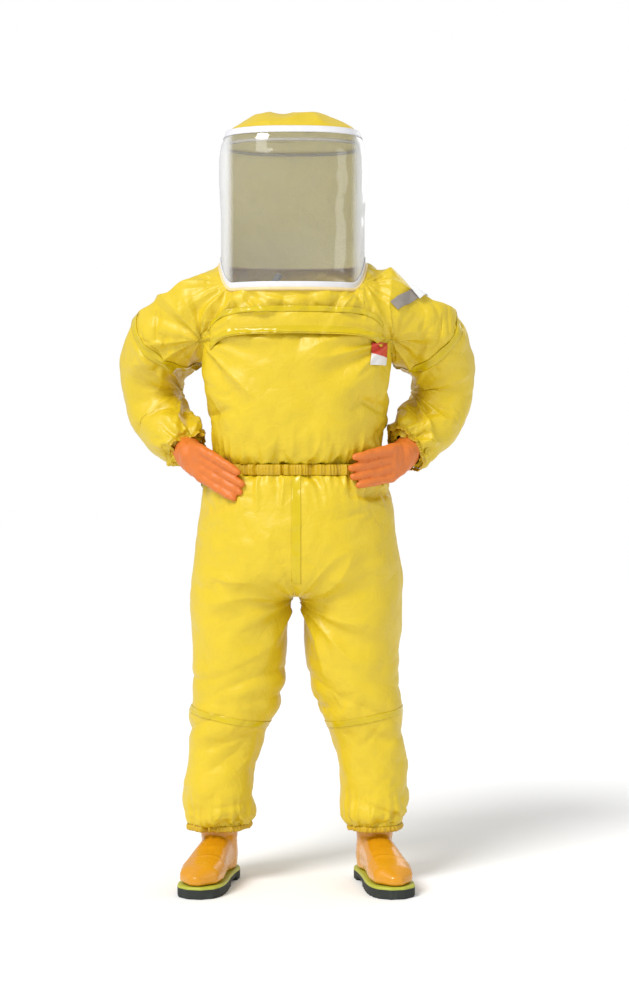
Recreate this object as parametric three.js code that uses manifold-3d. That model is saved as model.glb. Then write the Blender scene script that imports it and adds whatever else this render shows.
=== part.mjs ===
// Positive-pressure chemical protective suit: hooded one-piece garment with a wrap-round visor,
// rubber gloves and rubber boots, standing inflated with its hands on its hips.
// Millimetres, +Z up, the front of the suit faces -Y and the wearer's left is +X.
import * as THREE from "three";
import { mergeVertices } from "three/addons/utils/BufferGeometryUtils.js";
import Module from "manifold-3d";

const wasm = await Module();
wasm.setup();

// ---------------------------------------------------------------- driving dimensions

// Heights above the floor
const CROWN_TOP = 1738;
const CROWN_EDGE = 1690;
const HOOD_FOOT = 1304;
const NECK = 1412;
const SHOULDER = 1290;
const ZIP_HEIGHT = 1254;
const WAIST = 931;
const HIP = 698;
const CROTCH = 642;
const LEG_SPLIT = 600;
const KNEE_SPLIT = 405;
const HEM = 128;
const ELBOW_SPLIT = 1127;

// Half widths and half depths of the garment
const HOOD_HALF_WIDTH = 167;
const HOOD_HALF_DEPTH = 152;
const HOOD_LEAN = -9;
const CHEST_HALF_WIDTH = 205;
const CHEST_HALF_DEPTH = 164;
const WAIST_HALF_WIDTH = 168;
const WAIST_HALF_DEPTH = 122;
const HIP_HALF_WIDTH = 230;
const HIP_HALF_DEPTH = 156;
const THIGH_RADIUS = 111;
const KNEE_RADIUS = 95;
const SHIN_RADIUS = 75;
const LEG_SPREAD = 122;
const FOOT_SPREAD = 176;
const ARM_RADIUS = 90;
const ELBOW_RADIUS = 70;
const CUFF_RADIUS = 35;
const ARM_SPLIT = 210;

// Walls, seams and clearances
const WALL = 3;
const GAP = 0.3;
const VISOR_WALL = 2;
const TAPE = 1.2;
const TAPE_WIDTH = 20;
const ELASTIC_WIDTH = 18;
const ELASTIC_WALL = 2.4;
const BINDING_WIDTH = 14;
const SQUARENESS = 2.5;

// Chest closure
const ZIP_RADIUS = 400;
const ZIP_REACH = 136;
const ZIP_EASE = 3.6;
const ZIP_TEETH = 7;
const ZIP_TAPE = 11;
const ZIP_THICKNESS = 2;
const SLIDER_SIZE = new THREE.Vector3(13, 2.2, 11);
const PULL_SIZE = new THREE.Vector3(8, 1.2, 24);
const FLAP_DROP = 49;
const FLAP_ANGLE = 62;
const FLAP_STANDOFF = 10.5;

// Air inlet, exhaust valves and inner hose
const INLET_HEIGHT = 899;
const INLET_BACK = 42;
const INLET_RECESS = 1;
const INLET_BORE = 5;
const INLET_STEM = 9;
const COLLAR_TRAVEL = 3;
const VALVE_SPREAD = 72;
const VALVE_HEIGHT = 1170;
const VALVE_RADIUS = 30;
const VALVE_PORT = 15;
const HOSE_RADIUS = 9;

// Boots and gloves
const SOLE_THICKNESS = 27;
const SOLE_LIP = 3;
const BOOT_TOP = 300;
const BOOT_WALL = 3;
const SHAFT_RADIUS = 44;
const TOE_OUT = 12;
const HEEL_REACH = 72;
const TOE_REACH = 214;
const FINGER_RADIUS = 10.5;
const GLOVE_WALL = 2;

// Sides round each kind of tube
const SIDES = { hood: 28, torso: 24, leg: 16, arm: 14, palm: 10, boot: 14, finger: 6, turned: 14 };

const FRONT = -Math.PI / 2;
const DEGREE = Math.PI / 180;

// ---------------------------------------------------------------- solids from surfaces

const vector = (x, y, z) => new THREE.Vector3(x, y, z);
const mix = THREE.MathUtils.lerp;

// A smooth set of sizes along one coordinate: rows of [coordinate, size, size, ...].
function profile(rows) {
  const sizes = rows.flatMap((row) => row.slice(1));
  const spline = new THREE.CubicInterpolant(rows.map((row) => row[0]), sizes, rows[0].length - 1);
  return (place) => Array.from(spline.evaluate(place));
}

function steps(from, to, count) {
  return Array.from({ length: count + 1 }, (_, i) => mix(from, to, i / count));
}

// Rounds a circle's cosine or sine towards a rounded rectangle.
function squared(value, squareness) {
  return Math.sign(value) * Math.abs(value) ** (2 / squareness);
}

// A closed body from rows of points. Rows join on round the body and, for a wall, back to the first.
function bodyFrom(rows, { round = true, wall = true } = {}) {
  const across = rows[0].length;
  const points = rows.flat();
  const faces = [];
  const at = (i, j) => (i % rows.length) * across + (j % across);
  const quad = (a, b, c, d) => faces.push(a, b, c, a, c, d);
  for (let i = 0; i < rows.length - (wall ? 0 : 1); i += 1) {
    for (let j = 0; j < across - (round ? 0 : 1); j += 1) {
      quad(at(i, j), at(i, j + 1), at(i + 1, j + 1), at(i + 1, j));
    }
  }
  if (wall && !round) {
    const last = rows.length - 1;
    for (let i = 0; i < rows.length / 2 - 1; i += 1) {
      quad(at(i, 0), at(i + 1, 0), at(last - i - 1, 0), at(last - i, 0));
      quad(at(last - i, across - 1), at(last - i - 1, across - 1), at(i + 1, across - 1), at(i, across - 1));
    }
  }
  if (!wall) {
    [0, rows.length - 1].forEach((i) => {
      const middle = rows[i].reduce((sum, point) => sum.add(point), vector(0, 0, 0)).divideScalar(across);
      points.push(middle);
      for (let j = 0; j < across; j += 1) {
        const [a, b] = i === 0 ? [at(i, j + 1), at(i, j)] : [at(i, j), at(i, j + 1)];
        faces.push(a, b, points.length - 1);
      }
    });
  }
  const geometry = new THREE.BufferGeometry().setFromPoints(points);
  geometry.setIndex(faces);
  return outward(geometry);
}

function volumeOf(geometry) {
  const place = geometry.getAttribute("position");
  const index = geometry.index.array;
  const [a, b, c] = [vector(), vector(), vector()];
  let sum = 0;
  for (let i = 0; i < index.length; i += 3) {
    a.fromBufferAttribute(place, index[i]);
    b.fromBufferAttribute(place, index[i + 1]);
    c.fromBufferAttribute(place, index[i + 2]);
    sum += a.dot(b.cross(c));
  }
  return sum / 6;
}

function reversed(geometry) {
  const index = Array.from(geometry.index.array);
  for (let i = 0; i < index.length; i += 3) [index[i + 1], index[i + 2]] = [index[i + 2], index[i + 1]];
  geometry.setIndex(index);
  return geometry;
}

function outward(geometry) {
  return volumeOf(geometry) < 0 ? reversed(geometry) : geometry;
}

// The same shape with only positions and shared vertices.
function merged(geometry) {
  const bare = geometry.clone();
  bare.deleteAttribute("normal");
  bare.deleteAttribute("uv");
  return mergeVertices(bare, 1e-3);
}

function mirrored(geometry) {
  return reversed(merged(geometry).scale(-1, 1, 1));
}

function solidOf(geometry) {
  const shared = merged(geometry);
  const mesh = new wasm.Mesh({
    numProp: 3,
    vertProperties: shared.getAttribute("position").array,
    triVerts: new Uint32Array(shared.index.array),
  });
  return new wasm.Manifold(mesh);
}

function geometryOf(solid) {
  const mesh = solid.getMesh();
  const geometry = new THREE.BufferGeometry();
  geometry.setAttribute("position", new THREE.BufferAttribute(mesh.vertProperties, 3));
  geometry.setIndex(new THREE.BufferAttribute(mesh.triVerts, 1));
  return geometry;
}

function united(...geometries) {
  return geometryOf(geometries.map(solidOf).reduce((sum, solid) => sum.add(solid)));
}

function cut(geometry, ...tools) {
  return geometryOf(tools.map(solidOf).reduce((rest, solid) => rest.subtract(solid), solidOf(geometry)));
}

function kept(geometry, ...tools) {
  return geometryOf(tools.map(solidOf).reduce((rest, solid) => rest.intersect(solid), solidOf(geometry)));
}

function boxBetween(low, high) {
  const size = high.clone().sub(low);
  const middle = low.clone().add(high).divideScalar(2);
  return new THREE.BoxGeometry(size.x, size.y, size.z).translate(middle.x, middle.y, middle.z);
}

const FAR = 2500;
const above = (z) => boxBetween(vector(-FAR, -FAR, z + GAP / 2), vector(FAR, FAR, FAR));
const below = (z) => boxBetween(vector(-FAR, -FAR, -FAR), vector(FAR, FAR, z - GAP / 2));
const outside = (x) => boxBetween(vector(x + GAP / 2, -FAR, -FAR), vector(FAR, FAR, FAR));
const inside = (x) => boxBetween(vector(-x + GAP / 2, -FAR, -FAR), vector(x - GAP / 2, FAR, FAR));
const ahead = (y) => boxBetween(vector(-FAR, -FAR, -FAR), vector(FAR, y - GAP / 2, FAR));
const behind = (y) => boxBetween(vector(-FAR, y + GAP / 2, -FAR), vector(FAR, FAR, FAR));

// The largest body of a cut piece, without any crumbs that the cut leaves.
function mainBody(geometry) {
  const bodies = solidOf(geometry).decompose();
  return geometryOf(bodies.reduce((best, body) => (body.volume() > best.volume() ? body : best)));
}

// The rows of a wall: up the outer face, then down the inner one.
function wallRows(places, rowAt, outer, inner) {
  const up = places.map((place) => rowAt(place, outer));
  const down = places.map((place) => rowAt(place, inner));
  return up.concat(down.reverse());
}

// ---------------------------------------------------------------- surfaces of the garment

// A level ring, or an arc of one: half width and half depth about a centre.
function levelRow(centre, halfWidth, halfDepth, count, arc = null, squareness = SQUARENESS) {
  const angles = arc ? steps(arc[0], arc[1], count) : steps(0, 2 * Math.PI, count).slice(0, -1);
  return angles.map((angle) => vector(
    centre.x + halfWidth * squared(Math.cos(angle), squareness),
    centre.y + halfDepth * squared(Math.sin(angle), squareness),
    centre.z,
  ));
}

const hoodProfile = profile([
  [HOOD_FOOT - 30, HOOD_HALF_WIDTH - 11, HOOD_HALF_DEPTH - 2],
  [mix(HOOD_FOOT, CROWN_EDGE, 0.3), HOOD_HALF_WIDTH - 9, HOOD_HALF_DEPTH - 1],
  [mix(HOOD_FOOT, CROWN_EDGE, 0.75), HOOD_HALF_WIDTH, HOOD_HALF_DEPTH],
  [mix(HOOD_FOOT, CROWN_EDGE, 0.92), HOOD_HALF_WIDTH - 4, HOOD_HALF_DEPTH - 5],
  [CROWN_EDGE, HOOD_HALF_WIDTH - 18, HOOD_HALF_DEPTH - 18],
  [mix(CROWN_EDGE, CROWN_TOP, 0.45), HOOD_HALF_WIDTH - 42, HOOD_HALF_DEPTH - 40],
  [mix(CROWN_EDGE, CROWN_TOP, 0.8), HOOD_HALF_WIDTH - 82, HOOD_HALF_DEPTH - 76],
  [CROWN_TOP, HOOD_HALF_WIDTH * 0.18, HOOD_HALF_DEPTH * 0.18],
]);

function hoodRow(z, out, arc = null, count = SIDES.hood) {
  const [halfWidth, halfDepth] = hoodProfile(z);
  return levelRow(vector(HOOD_LEAN, 0, z), halfWidth + out, halfDepth + out, count, arc);
}

const torsoProfile = profile([
  [WAIST - 30, WAIST_HALF_WIDTH, WAIST_HALF_DEPTH, 0],
  [WAIST, WAIST_HALF_WIDTH, WAIST_HALF_DEPTH, 0],
  [mix(WAIST, SHOULDER, 0.1), CHEST_HALF_WIDTH - 18, CHEST_HALF_DEPTH - 16, 0],
  [mix(WAIST, SHOULDER, 0.25), CHEST_HALF_WIDTH - 11, CHEST_HALF_DEPTH - 4, 0],
  [mix(WAIST, SHOULDER, 0.55), CHEST_HALF_WIDTH - 2, CHEST_HALF_DEPTH, 0],
  [mix(WAIST, SHOULDER, 0.85), CHEST_HALF_WIDTH, CHEST_HALF_DEPTH - 5, 0],
  [SHOULDER, CHEST_HALF_WIDTH, CHEST_HALF_DEPTH - 5, 0],
  [mix(SHOULDER, NECK, 0.4), CHEST_HALF_WIDTH - 3, CHEST_HALF_DEPTH - 11, 6],
  [mix(SHOULDER, NECK, 0.75), CHEST_HALF_WIDTH - 16, CHEST_HALF_DEPTH - 32, 24],
  [NECK - 10, CHEST_HALF_WIDTH - 38, CHEST_HALF_DEPTH - 54, 42],
  [NECK + 8, CHEST_HALF_WIDTH - 76, CHEST_HALF_DEPTH - 86, 52],
  [NECK + 18, CHEST_HALF_WIDTH - 130, CHEST_HALF_DEPTH - 124, 56],
]);

function torsoRow(z, out, arc = null, count = SIDES.torso) {
  const [halfWidth, halfDepth, back] = torsoProfile(z);
  return levelRow(vector(0, back, z), halfWidth + out, halfDepth + out, count, arc);
}

// The chest front at one width and height, as far out from the cloth as asked.
function chestFront(x, z, out) {
  const [halfWidth, halfDepth, back] = torsoProfile(z);
  const share = Math.min(Math.abs(x) / (halfWidth + out), 1) ** SQUARENESS;
  return back - (halfDepth + out) * (1 - share) ** (1 / SQUARENESS);
}

const pelvisProfile = profile([
  [CROTCH + 4, HIP_HALF_WIDTH, HIP_HALF_DEPTH - 27],
  [mix(CROTCH, HIP, 0.7), HIP_HALF_WIDTH, HIP_HALF_DEPTH - 6],
  [mix(HIP, WAIST, 0.25), HIP_HALF_WIDTH - 8, HIP_HALF_DEPTH + 2],
  [mix(HIP, WAIST, 0.62), HIP_HALF_WIDTH - 20, HIP_HALF_DEPTH - 5],
  [mix(HIP, WAIST, 0.87), HIP_HALF_WIDTH - 33, HIP_HALF_DEPTH - 14],
  [WAIST, WAIST_HALF_WIDTH, WAIST_HALF_DEPTH],
  [WAIST + 30, WAIST_HALF_WIDTH, WAIST_HALF_DEPTH],
]);

function pelvisRow(z, out) {
  const [halfWidth, halfDepth] = pelvisProfile(z);
  return levelRow(vector(0, 0, z), halfWidth + out, halfDepth + out, SIDES.torso);
}

// The air inlet stands on the right flank, a little inside the cloth's widest face there.
const inletPlace = vector(INLET_RECESS - pelvisProfile(INLET_HEIGHT)[0], INLET_BACK, INLET_HEIGHT);

// The wearer's left leg. The right one mirrors it. Rows: height, spread, half width, half depth.
const HEM_EASE = 3;
const HEM_RADIUS = SHAFT_RADIUS + HEM_EASE + WALL;
const legProfile = profile([
  [HEM - 22, FOOT_SPREAD, HEM_RADIUS, HEM_RADIUS + 7],
  [HEM, FOOT_SPREAD, HEM_RADIUS, HEM_RADIUS + 7],
  [HEM + 12, FOOT_SPREAD, SHIN_RADIUS - 10, SHIN_RADIUS],
  [mix(HEM, KNEE_SPLIT, 0.15), FOOT_SPREAD - 2, SHIN_RADIUS + 2, SHIN_RADIUS + 9],
  [mix(HEM, KNEE_SPLIT, 0.45), FOOT_SPREAD - 1, SHIN_RADIUS - 1, SHIN_RADIUS + 8],
  [mix(HEM, KNEE_SPLIT, 0.75), FOOT_SPREAD - 18, SHIN_RADIUS + 3, SHIN_RADIUS + 14],
  [KNEE_SPLIT, mix(FOOT_SPREAD, LEG_SPREAD, 0.72), KNEE_RADIUS, KNEE_RADIUS + 9],
  [mix(KNEE_SPLIT, LEG_SPLIT, 0.4), LEG_SPREAD + 3, THIGH_RADIUS - 14, THIGH_RADIUS - 5],
  [LEG_SPLIT, LEG_SPREAD - 1, THIGH_RADIUS, THIGH_RADIUS + 8],
  [CROTCH + 40, LEG_SPREAD - 5, THIGH_RADIUS + 1, THIGH_RADIUS + 14],
]);

function legRow(z, out) {
  const [spread, halfWidth, halfDepth] = legProfile(z);
  return levelRow(vector(spread, 0, z), halfWidth + out, halfDepth + out, SIDES.leg, null, 2.1);
}

// A point of the forearm or the hand, whose reach is measured out from the hip that the hand rests on.
const fromHip = (x, y, z) => vector(HIP_HALF_WIDTH + x, y, z);

// The wearer's left arm, from inside the shoulder to the glove cuff: centre and radius at each station.
const ARM_STATIONS = [
  { centre: vector(150, -2, 1300), radius: ARM_RADIUS - 6 },
  { centre: vector(ARM_SPLIT, 10, 1285), radius: ARM_RADIUS },
  { centre: vector(290, 60, 1232), radius: ARM_RADIUS },
  { centre: fromHip(101, 114, 1168), radius: ELBOW_RADIUS + 9 },
  { centre: fromHip(105, 130, 1108), radius: ELBOW_RADIUS },
  { centre: fromHip(82, 96, 1050), radius: ELBOW_RADIUS - 3 },
  { centre: fromHip(50, 42, 1006), radius: ELBOW_RADIUS - 9 },
  { centre: fromHip(32, 12, 985), radius: ELBOW_RADIUS - 18 },
  { centre: fromHip(20, -8, 974), radius: CUFF_RADIUS + GAP + WALL },
  { centre: fromHip(11, -23, 967), radius: CUFF_RADIUS + GAP + WALL },
];
const armPath = new THREE.CatmullRomCurve3(ARM_STATIONS.map((station) => station.centre), false, "centripetal");
const armRadius = profile(ARM_STATIONS.map((station, i) => [i / (ARM_STATIONS.length - 1), station.radius]));
const ARM_REFERENCE = vector(0.8, -0.57, 0.1);
const CUFF_START = 8 / 9;

// A ring square to a path, from its place, its two half sizes and the way its first axis looks.
function pathRow(path, place, halfSizes, reference, count, squareness = 2) {
  const centre = path.getPoint(place);
  const along = path.getTangent(place).normalize();
  const first = reference.clone().addScaledVector(along, -reference.dot(along)).normalize();
  const second = along.clone().cross(first);
  return steps(0, 2 * Math.PI, count).slice(0, -1).map((angle) => centre.clone()
    .addScaledVector(first, halfSizes[0] * squared(Math.cos(angle), squareness))
    .addScaledVector(second, halfSizes[1] * squared(Math.sin(angle), squareness)));
}

function armRow(place, out) {
  const radius = armRadius(place)[0] + out;
  return pathRow(armPath, place, [radius, radius], ARM_REFERENCE, SIDES.arm);
}

// ---------------------------------------------------------------- materials

const FABRIC = new THREE.MeshStandardMaterial({ color: 0xdcc626, roughness: 0.45, metalness: 0 });
const SEAM = new THREE.MeshStandardMaterial({ color: 0xd2b400, roughness: 0.4, metalness: 0 });
const CLEAR = new THREE.MeshStandardMaterial({ color: 0xf4f6f8, roughness: 0.05, metalness: 0 });
CLEAR.transparent = true;
CLEAR.opacity = 0.25;
const WHITE = new THREE.MeshStandardMaterial({ color: 0xe6e6ea, roughness: 0.35, metalness: 0 });
const ORANGE = new THREE.MeshStandardMaterial({ color: 0xdb7420, roughness: 0.55, metalness: 0 });
const BOOT = new THREE.MeshStandardMaterial({ color: 0xe09a08, roughness: 0.35, metalness: 0 });
const SOLE = new THREE.MeshStandardMaterial({ color: 0x2d302d, roughness: 0.8, metalness: 0 });
const GREY = new THREE.MeshStandardMaterial({ color: 0x9a9a98, roughness: 0.5, metalness: 0 });
const DARK = new THREE.MeshStandardMaterial({ color: 0x28332c, roughness: 0.4, metalness: 0 });
const BRASS = new THREE.MeshStandardMaterial({ color: 0xb9a057, roughness: 0.3, metalness: 1 });
const RED = new THREE.MeshStandardMaterial({ color: 0xc8402c, roughness: 0.6, metalness: 0 });

// ---------------------------------------------------------------- bodies and their pivots

// The whole suit sits centred over its feet and its elbows.
const CENTRING = 5;
const suit = new THREE.Group();
suit.position.set(0, CENTRING, 0);

// A group whose origin is the hinge line that its pieces turn about.
function bodyAt(parent, pivot) {
  const group = new THREE.Group();
  group.userData.pivot = pivot;
  const origin = parent.userData.pivot ?? vector(0, 0, 0);
  group.position.copy(pivot).sub(origin);
  parent.add(group);
  return group;
}

function add(group, name, geometry, material) {
  const origin = group.userData.pivot ?? vector(0, 0, 0);
  const mesh = new THREE.Mesh(geometry.clone().translate(-origin.x, -origin.y, -origin.z), material);
  mesh.geometry.computeVertexNormals();
  mesh.name = name;
  group.add(mesh);
}

const BOTH = [
  { side: "left", sign: 1, place: (geometry) => geometry },
  { side: "right", sign: -1, place: mirrored },
];

// ---------------------------------------------------------------- arms and torso

const CUFF_END = CUFF_START + 0.03;
const TAPE_START = 0.215;
const TAPE_END = 0.25;
const armPlaces = [
  0, 0.09, 0.16, TAPE_START, TAPE_END, 0.33, 0.41, 0.48, 0.56, 0.64, 0.72, 0.78, 0.83, CUFF_START, CUFF_END,
];
const armOuter = bodyFrom(armPlaces.map((place) => armRow(place, 0)), { wall: false });
const armInner = bodyFrom(armPlaces.map((place) => armRow(place, -WALL)), { wall: false });
const armShell = bodyFrom(wallRows(armPlaces, armRow, 0, -WALL));
const armHollow = united(armInner, mirrored(armInner));

const torsoHeights = [
  WAIST, WAIST + 14, WAIST + 34, WAIST + 80, mix(WAIST, SHOULDER, 0.55), SHOULDER,
  mix(SHOULDER, NECK, 0.4), mix(SHOULDER, NECK, 0.75), NECK - 10, NECK + 8, NECK + 18,
];
const torsoOuter = bodyFrom(torsoHeights.map((z) => torsoRow(z, 0)), { wall: false });
const torsoInner = bodyFrom(torsoHeights.map((z) => torsoRow(z, -WALL)), { wall: false });
const neckHole = bodyFrom(steps(HOOD_FOOT, NECK + 40, 4).map((z) => hoodRow(z, GAP)), { wall: false });
const waistHole = bodyFrom([WAIST - 20, WAIST + 5].map((z) => torsoRow(z, -WALL)), { wall: false });
const valvePlaces = BOTH.map(({ sign }) => vector(sign * VALVE_SPREAD, 0, VALVE_HEIGHT));

// A hole through the back for each exhaust valve's stem.
const VALVE_STEM = VALVE_PORT + 4;
function backHole(place) {
  const hole = new THREE.CylinderGeometry(VALVE_STEM + GAP, VALVE_STEM + GAP, 200, SIDES.turned);
  return hole.translate(place.x, CHEST_HALF_DEPTH, place.z);
}

const shoulderStubs = [armOuter, mirrored(armOuter)].map((arm) => kept(arm, inside(ARM_SPLIT), above(SHOULDER - 180)));
const torsoShell = cut(united(torsoOuter, ...shoulderStubs), torsoInner, armHollow, neckHole, waistHole,
  ...valvePlaces.map(backHole));

const ZIP_SLOT = ZIP_TEETH / 2 + GAP;
add(suit, "chest_yoke", kept(torsoShell, ahead(0), above(ZIP_HEIGHT + ZIP_SLOT)), FABRIC);
add(suit, "torso_front", kept(torsoShell, ahead(0), below(ZIP_HEIGHT - ZIP_SLOT), above(WAIST)), FABRIC);
add(suit, "torso_back", kept(torsoShell, behind(0), above(WAIST)), FABRIC);

// ---------------------------------------------------------------- hood

const hoodHeights = [0, 0.3, 0.7, 0.84, 0.93, 1].map((share) => mix(HOOD_FOOT, CROWN_EDGE - GAP, share));
const VISOR_BACK = 52;
const torsoRoof = bodyFrom(torsoHeights.map((z) => torsoRow(z, GAP)), { wall: false });

// The hood's walls as one tube, between two offsets from the cloth's outer face.
function hoodWall(outer, inner) {
  return cut(bodyFrom(wallRows(hoodHeights, hoodRow, outer, inner)), torsoRoof);
}

add(suit, "visor", kept(hoodWall(0, -VISOR_WALL), ahead(VISOR_BACK)), CLEAR);
add(suit, "hood_rear_wall", kept(hoodWall(0, -WALL), behind(VISOR_BACK)), FABRIC);

// The welded white edge round the visor: one frame with binding on every side.
const BINDING_SIDE = 8;
const windowTool = cut(
  kept(ahead(VISOR_BACK - BINDING_SIDE), below(CROWN_EDGE - BINDING_WIDTH)),
  torsoRoof.clone().translate(0, 0, BINDING_WIDTH),
  below(HOOD_FOOT + BINDING_WIDTH),
);
const bindingBand = kept(hoodWall(GAP + TAPE + 0.6, GAP), ahead(VISOR_BACK + BINDING_SIDE));
add(suit, "visor_binding", cut(bindingBand, windowTool), WHITE);

const crownHeights = [CROWN_EDGE, ...steps(mix(CROWN_EDGE, CROWN_TOP, 0.3), CROWN_TOP, 3)];
const crownOuter = bodyFrom(crownHeights.map((z) => hoodRow(z, 0)), { wall: false });
const crownInner = bodyFrom(crownHeights.map((z) => hoodRow(z, -WALL).map((p) => p.setZ(z - WALL))), { wall: false });
add(suit, "hood_crown", cut(crownOuter, crownInner), FABRIC);

// The stiffening hoop inside the top of the hood.
const HOOP_HEIGHT = CROWN_EDGE - 34;
const hoopRow = (z, out) => hoodRow(z, out - 2 * WALL - 2);
add(suit, "hood_hoop", bodyFrom(wallRows([HOOP_HEIGHT, HOOP_HEIGHT + 7], hoopRow, 0, -4)), GREY);

// ---------------------------------------------------------------- chest closure

// The zip runs on an arc across the chest. Its centre is the line that the slider turns about.
const zipCentreY = chestFront(0, ZIP_HEIGHT, ZIP_EASE) + ZIP_RADIUS;
const zipReachAngle = Math.asin(ZIP_REACH / ZIP_RADIUS);

function zipRow(z, out) {
  return steps(-zipReachAngle, zipReachAngle, 16).map((angle) => vector(
    (ZIP_RADIUS + out) * Math.sin(angle),
    zipCentreY - (ZIP_RADIUS + out) * Math.cos(angle),
    z,
  ));
}

function zipBand(low, high, inner, outer) {
  return bodyFrom(wallRows([low, high], zipRow, outer, inner), { round: false });
}

add(suit, "zip_chain", zipBand(ZIP_HEIGHT - ZIP_TEETH / 2, ZIP_HEIGHT + ZIP_TEETH / 2, 0, ZIP_THICKNESS), BRASS);
[["zip_tape_upper", 1], ["zip_tape_lower", -1]].forEach(([name, sign]) => {
  const near = ZIP_HEIGHT + sign * (ZIP_TEETH / 2 + GAP);
  const far = near + sign * ZIP_TAPE;
  add(suit, name, zipBand(Math.min(near, far), Math.max(near, far), 0.2, 1.2), SEAM);
});

const zipAxis = vector(0, zipCentreY, ZIP_HEIGHT);
const zipSlider = bodyAt(suit, zipAxis);
const sliderTurn = zipReachAngle - 1.2 * DEGREE - SLIDER_SIZE.x / 2 / ZIP_RADIUS;
function onZip(geometry) {
  return geometry.translate(0, -ZIP_RADIUS, 0).rotateZ(sliderTurn).translate(zipAxis.x, zipAxis.y, zipAxis.z);
}
const sliderOut = ZIP_THICKNESS + GAP + SLIDER_SIZE.y / 2;
const pullOut = sliderOut + SLIDER_SIZE.y / 2 + GAP + PULL_SIZE.y / 2;
const sliderBlock = new THREE.BoxGeometry(...SLIDER_SIZE.toArray()).translate(0, -sliderOut, 0);
const pullTab = new THREE.BoxGeometry(...PULL_SIZE.toArray()).translate(0, -pullOut, -PULL_SIZE.z / 2 + 3);
add(zipSlider, "zip_slider", onZip(sliderBlock), BRASS);
add(zipSlider, "zip_pull_tab", onZip(pullTab), BRASS);

// The storm flap hangs over the zip from a taped seam.
const FLAP_TOP = ZIP_HEIGHT + FLAP_DROP / 2;
const flapArc = [FRONT - FLAP_ANGLE * DEGREE, FRONT + FLAP_ANGLE * DEGREE];
const flapPivot = vector(0, chestFront(0, FLAP_TOP, FLAP_STANDOFF + TAPE), FLAP_TOP);
const flapBody = bodyAt(suit, flapPivot);
const flapRow = (z, out) => torsoRow(z, out, flapArc, 22);
const flapHeights = [FLAP_TOP - FLAP_DROP, ZIP_HEIGHT, FLAP_TOP];
const flap = bodyFrom(wallRows(flapHeights, flapRow, FLAP_STANDOFF + TAPE, FLAP_STANDOFF), { round: false });
add(flapBody, "storm_flap", flap, SEAM);
const tapeHeights = [FLAP_TOP + GAP, FLAP_TOP + GAP + TAPE_WIDTH / 2];
const flapTape = bodyFrom(wallRows(tapeHeights, flapRow, FLAP_STANDOFF + TAPE, GAP), { round: false });
add(suit, "flap_seam_tape", flapTape, SEAM);

// A small sewn label beside the closure, with no words.
const LABEL_X = [185, 155];
const LABEL_HEIGHT = 50;
const LABEL_STANDOFF = 1.6;
const labelRow = (z, out) => steps(LABEL_X[1], LABEL_X[0], 3).map((x) => vector(x, chestFront(x, z, out), z));
const labelLow = ZIP_HEIGHT - FLAP_DROP / 2 - LABEL_HEIGHT - 5;
const labelHeights = [labelLow, labelLow + LABEL_HEIGHT];
const label = bodyFrom(wallRows(labelHeights, labelRow, LABEL_STANDOFF + 1, LABEL_STANDOFF), { round: false });
add(suit, "chest_label", label, WHITE);

// ---------------------------------------------------------------- waist and trousers

const legPlaces = steps(LEG_SPLIT, CROTCH + 40, 3);
const legTop = (out) => {
  const leg = bodyFrom([LEG_SPLIT - 2, ...legPlaces].map((z) => legRow(z, out)), { wall: false });
  return united(leg, mirrored(leg));
};
const pelvisHeights = [
  CROTCH + 4, ...steps(CROTCH + 40, HIP, 1), ...steps(HIP + 50, WAIST - 50, 3), WAIST - 30, WAIST - 14, WAIST,
];
const pelvisOuter = bodyFrom(pelvisHeights.map((z) => pelvisRow(z, 0)), { wall: false });
const pelvisInner = bodyFrom([CROTCH + 4 + WALL, ...pelvisHeights.slice(1), WAIST + 20].map((z) => pelvisRow(z, -WALL)),
  { wall: false });
const inletHole = new THREE.CylinderGeometry(INLET_STEM + GAP, INLET_STEM + GAP, 90, SIDES.turned);
inletHole.rotateZ(Math.PI / 2).translate(inletPlace.x, inletPlace.y, inletPlace.z);
const trousers = cut(united(pelvisOuter, legTop(0)), pelvisInner, legTop(-WALL), inletHole);
const trouserPiece = kept(trousers, above(LEG_SPLIT), below(WAIST));
add(suit, "trouser_left", kept(trouserPiece, outside(0)), FABRIC);
add(suit, "trouser_right", kept(trouserPiece, mirrored(outside(0))), FABRIC);

// Tapes over the centre seam, front and back.
function pelvisFront(x, z, out) {
  const [halfWidth, halfDepth] = pelvisProfile(z);
  return -(halfDepth + out) * (1 - Math.abs(x / (halfWidth + out)) ** SQUARENESS) ** (1 / SQUARENESS);
}
const centreHeights = pelvisHeights.slice(1, -1);
[["centre_seam_tape_front", 1], ["centre_seam_tape_back", -1]].forEach(([name, sign]) => {
  const row = (z, out) => [-1, 0, 1].map((share) => {
    const x = share * TAPE_WIDTH / 2;
    return vector(x, sign * pelvisFront(x, z, out), z);
  });
  add(suit, name, bodyFrom(wallRows(centreHeights, row, 2 * GAP + TAPE, 2 * GAP), { round: false }), SEAM);
});

const waistRow = (z, out) => {
  return levelRow(vector(0, 0, z), WAIST_HALF_WIDTH + out, WAIST_HALF_DEPTH + out, SIDES.torso);
};
const waistHeights = [WAIST - ELASTIC_WIDTH / 2, WAIST + ELASTIC_WIDTH / 2];
const waistLoose = bodyFrom(wallRows(waistHeights, waistRow, 6 + ELASTIC_WALL, 0));
const waistTools = [torsoRoof, bodyFrom(pelvisHeights.map((z) => pelvisRow(z, GAP)), { wall: false })];
add(suit, "waist_elastic", cut(waistLoose, ...waistTools), SEAM);

// ---------------------------------------------------------------- legs, boots

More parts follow.
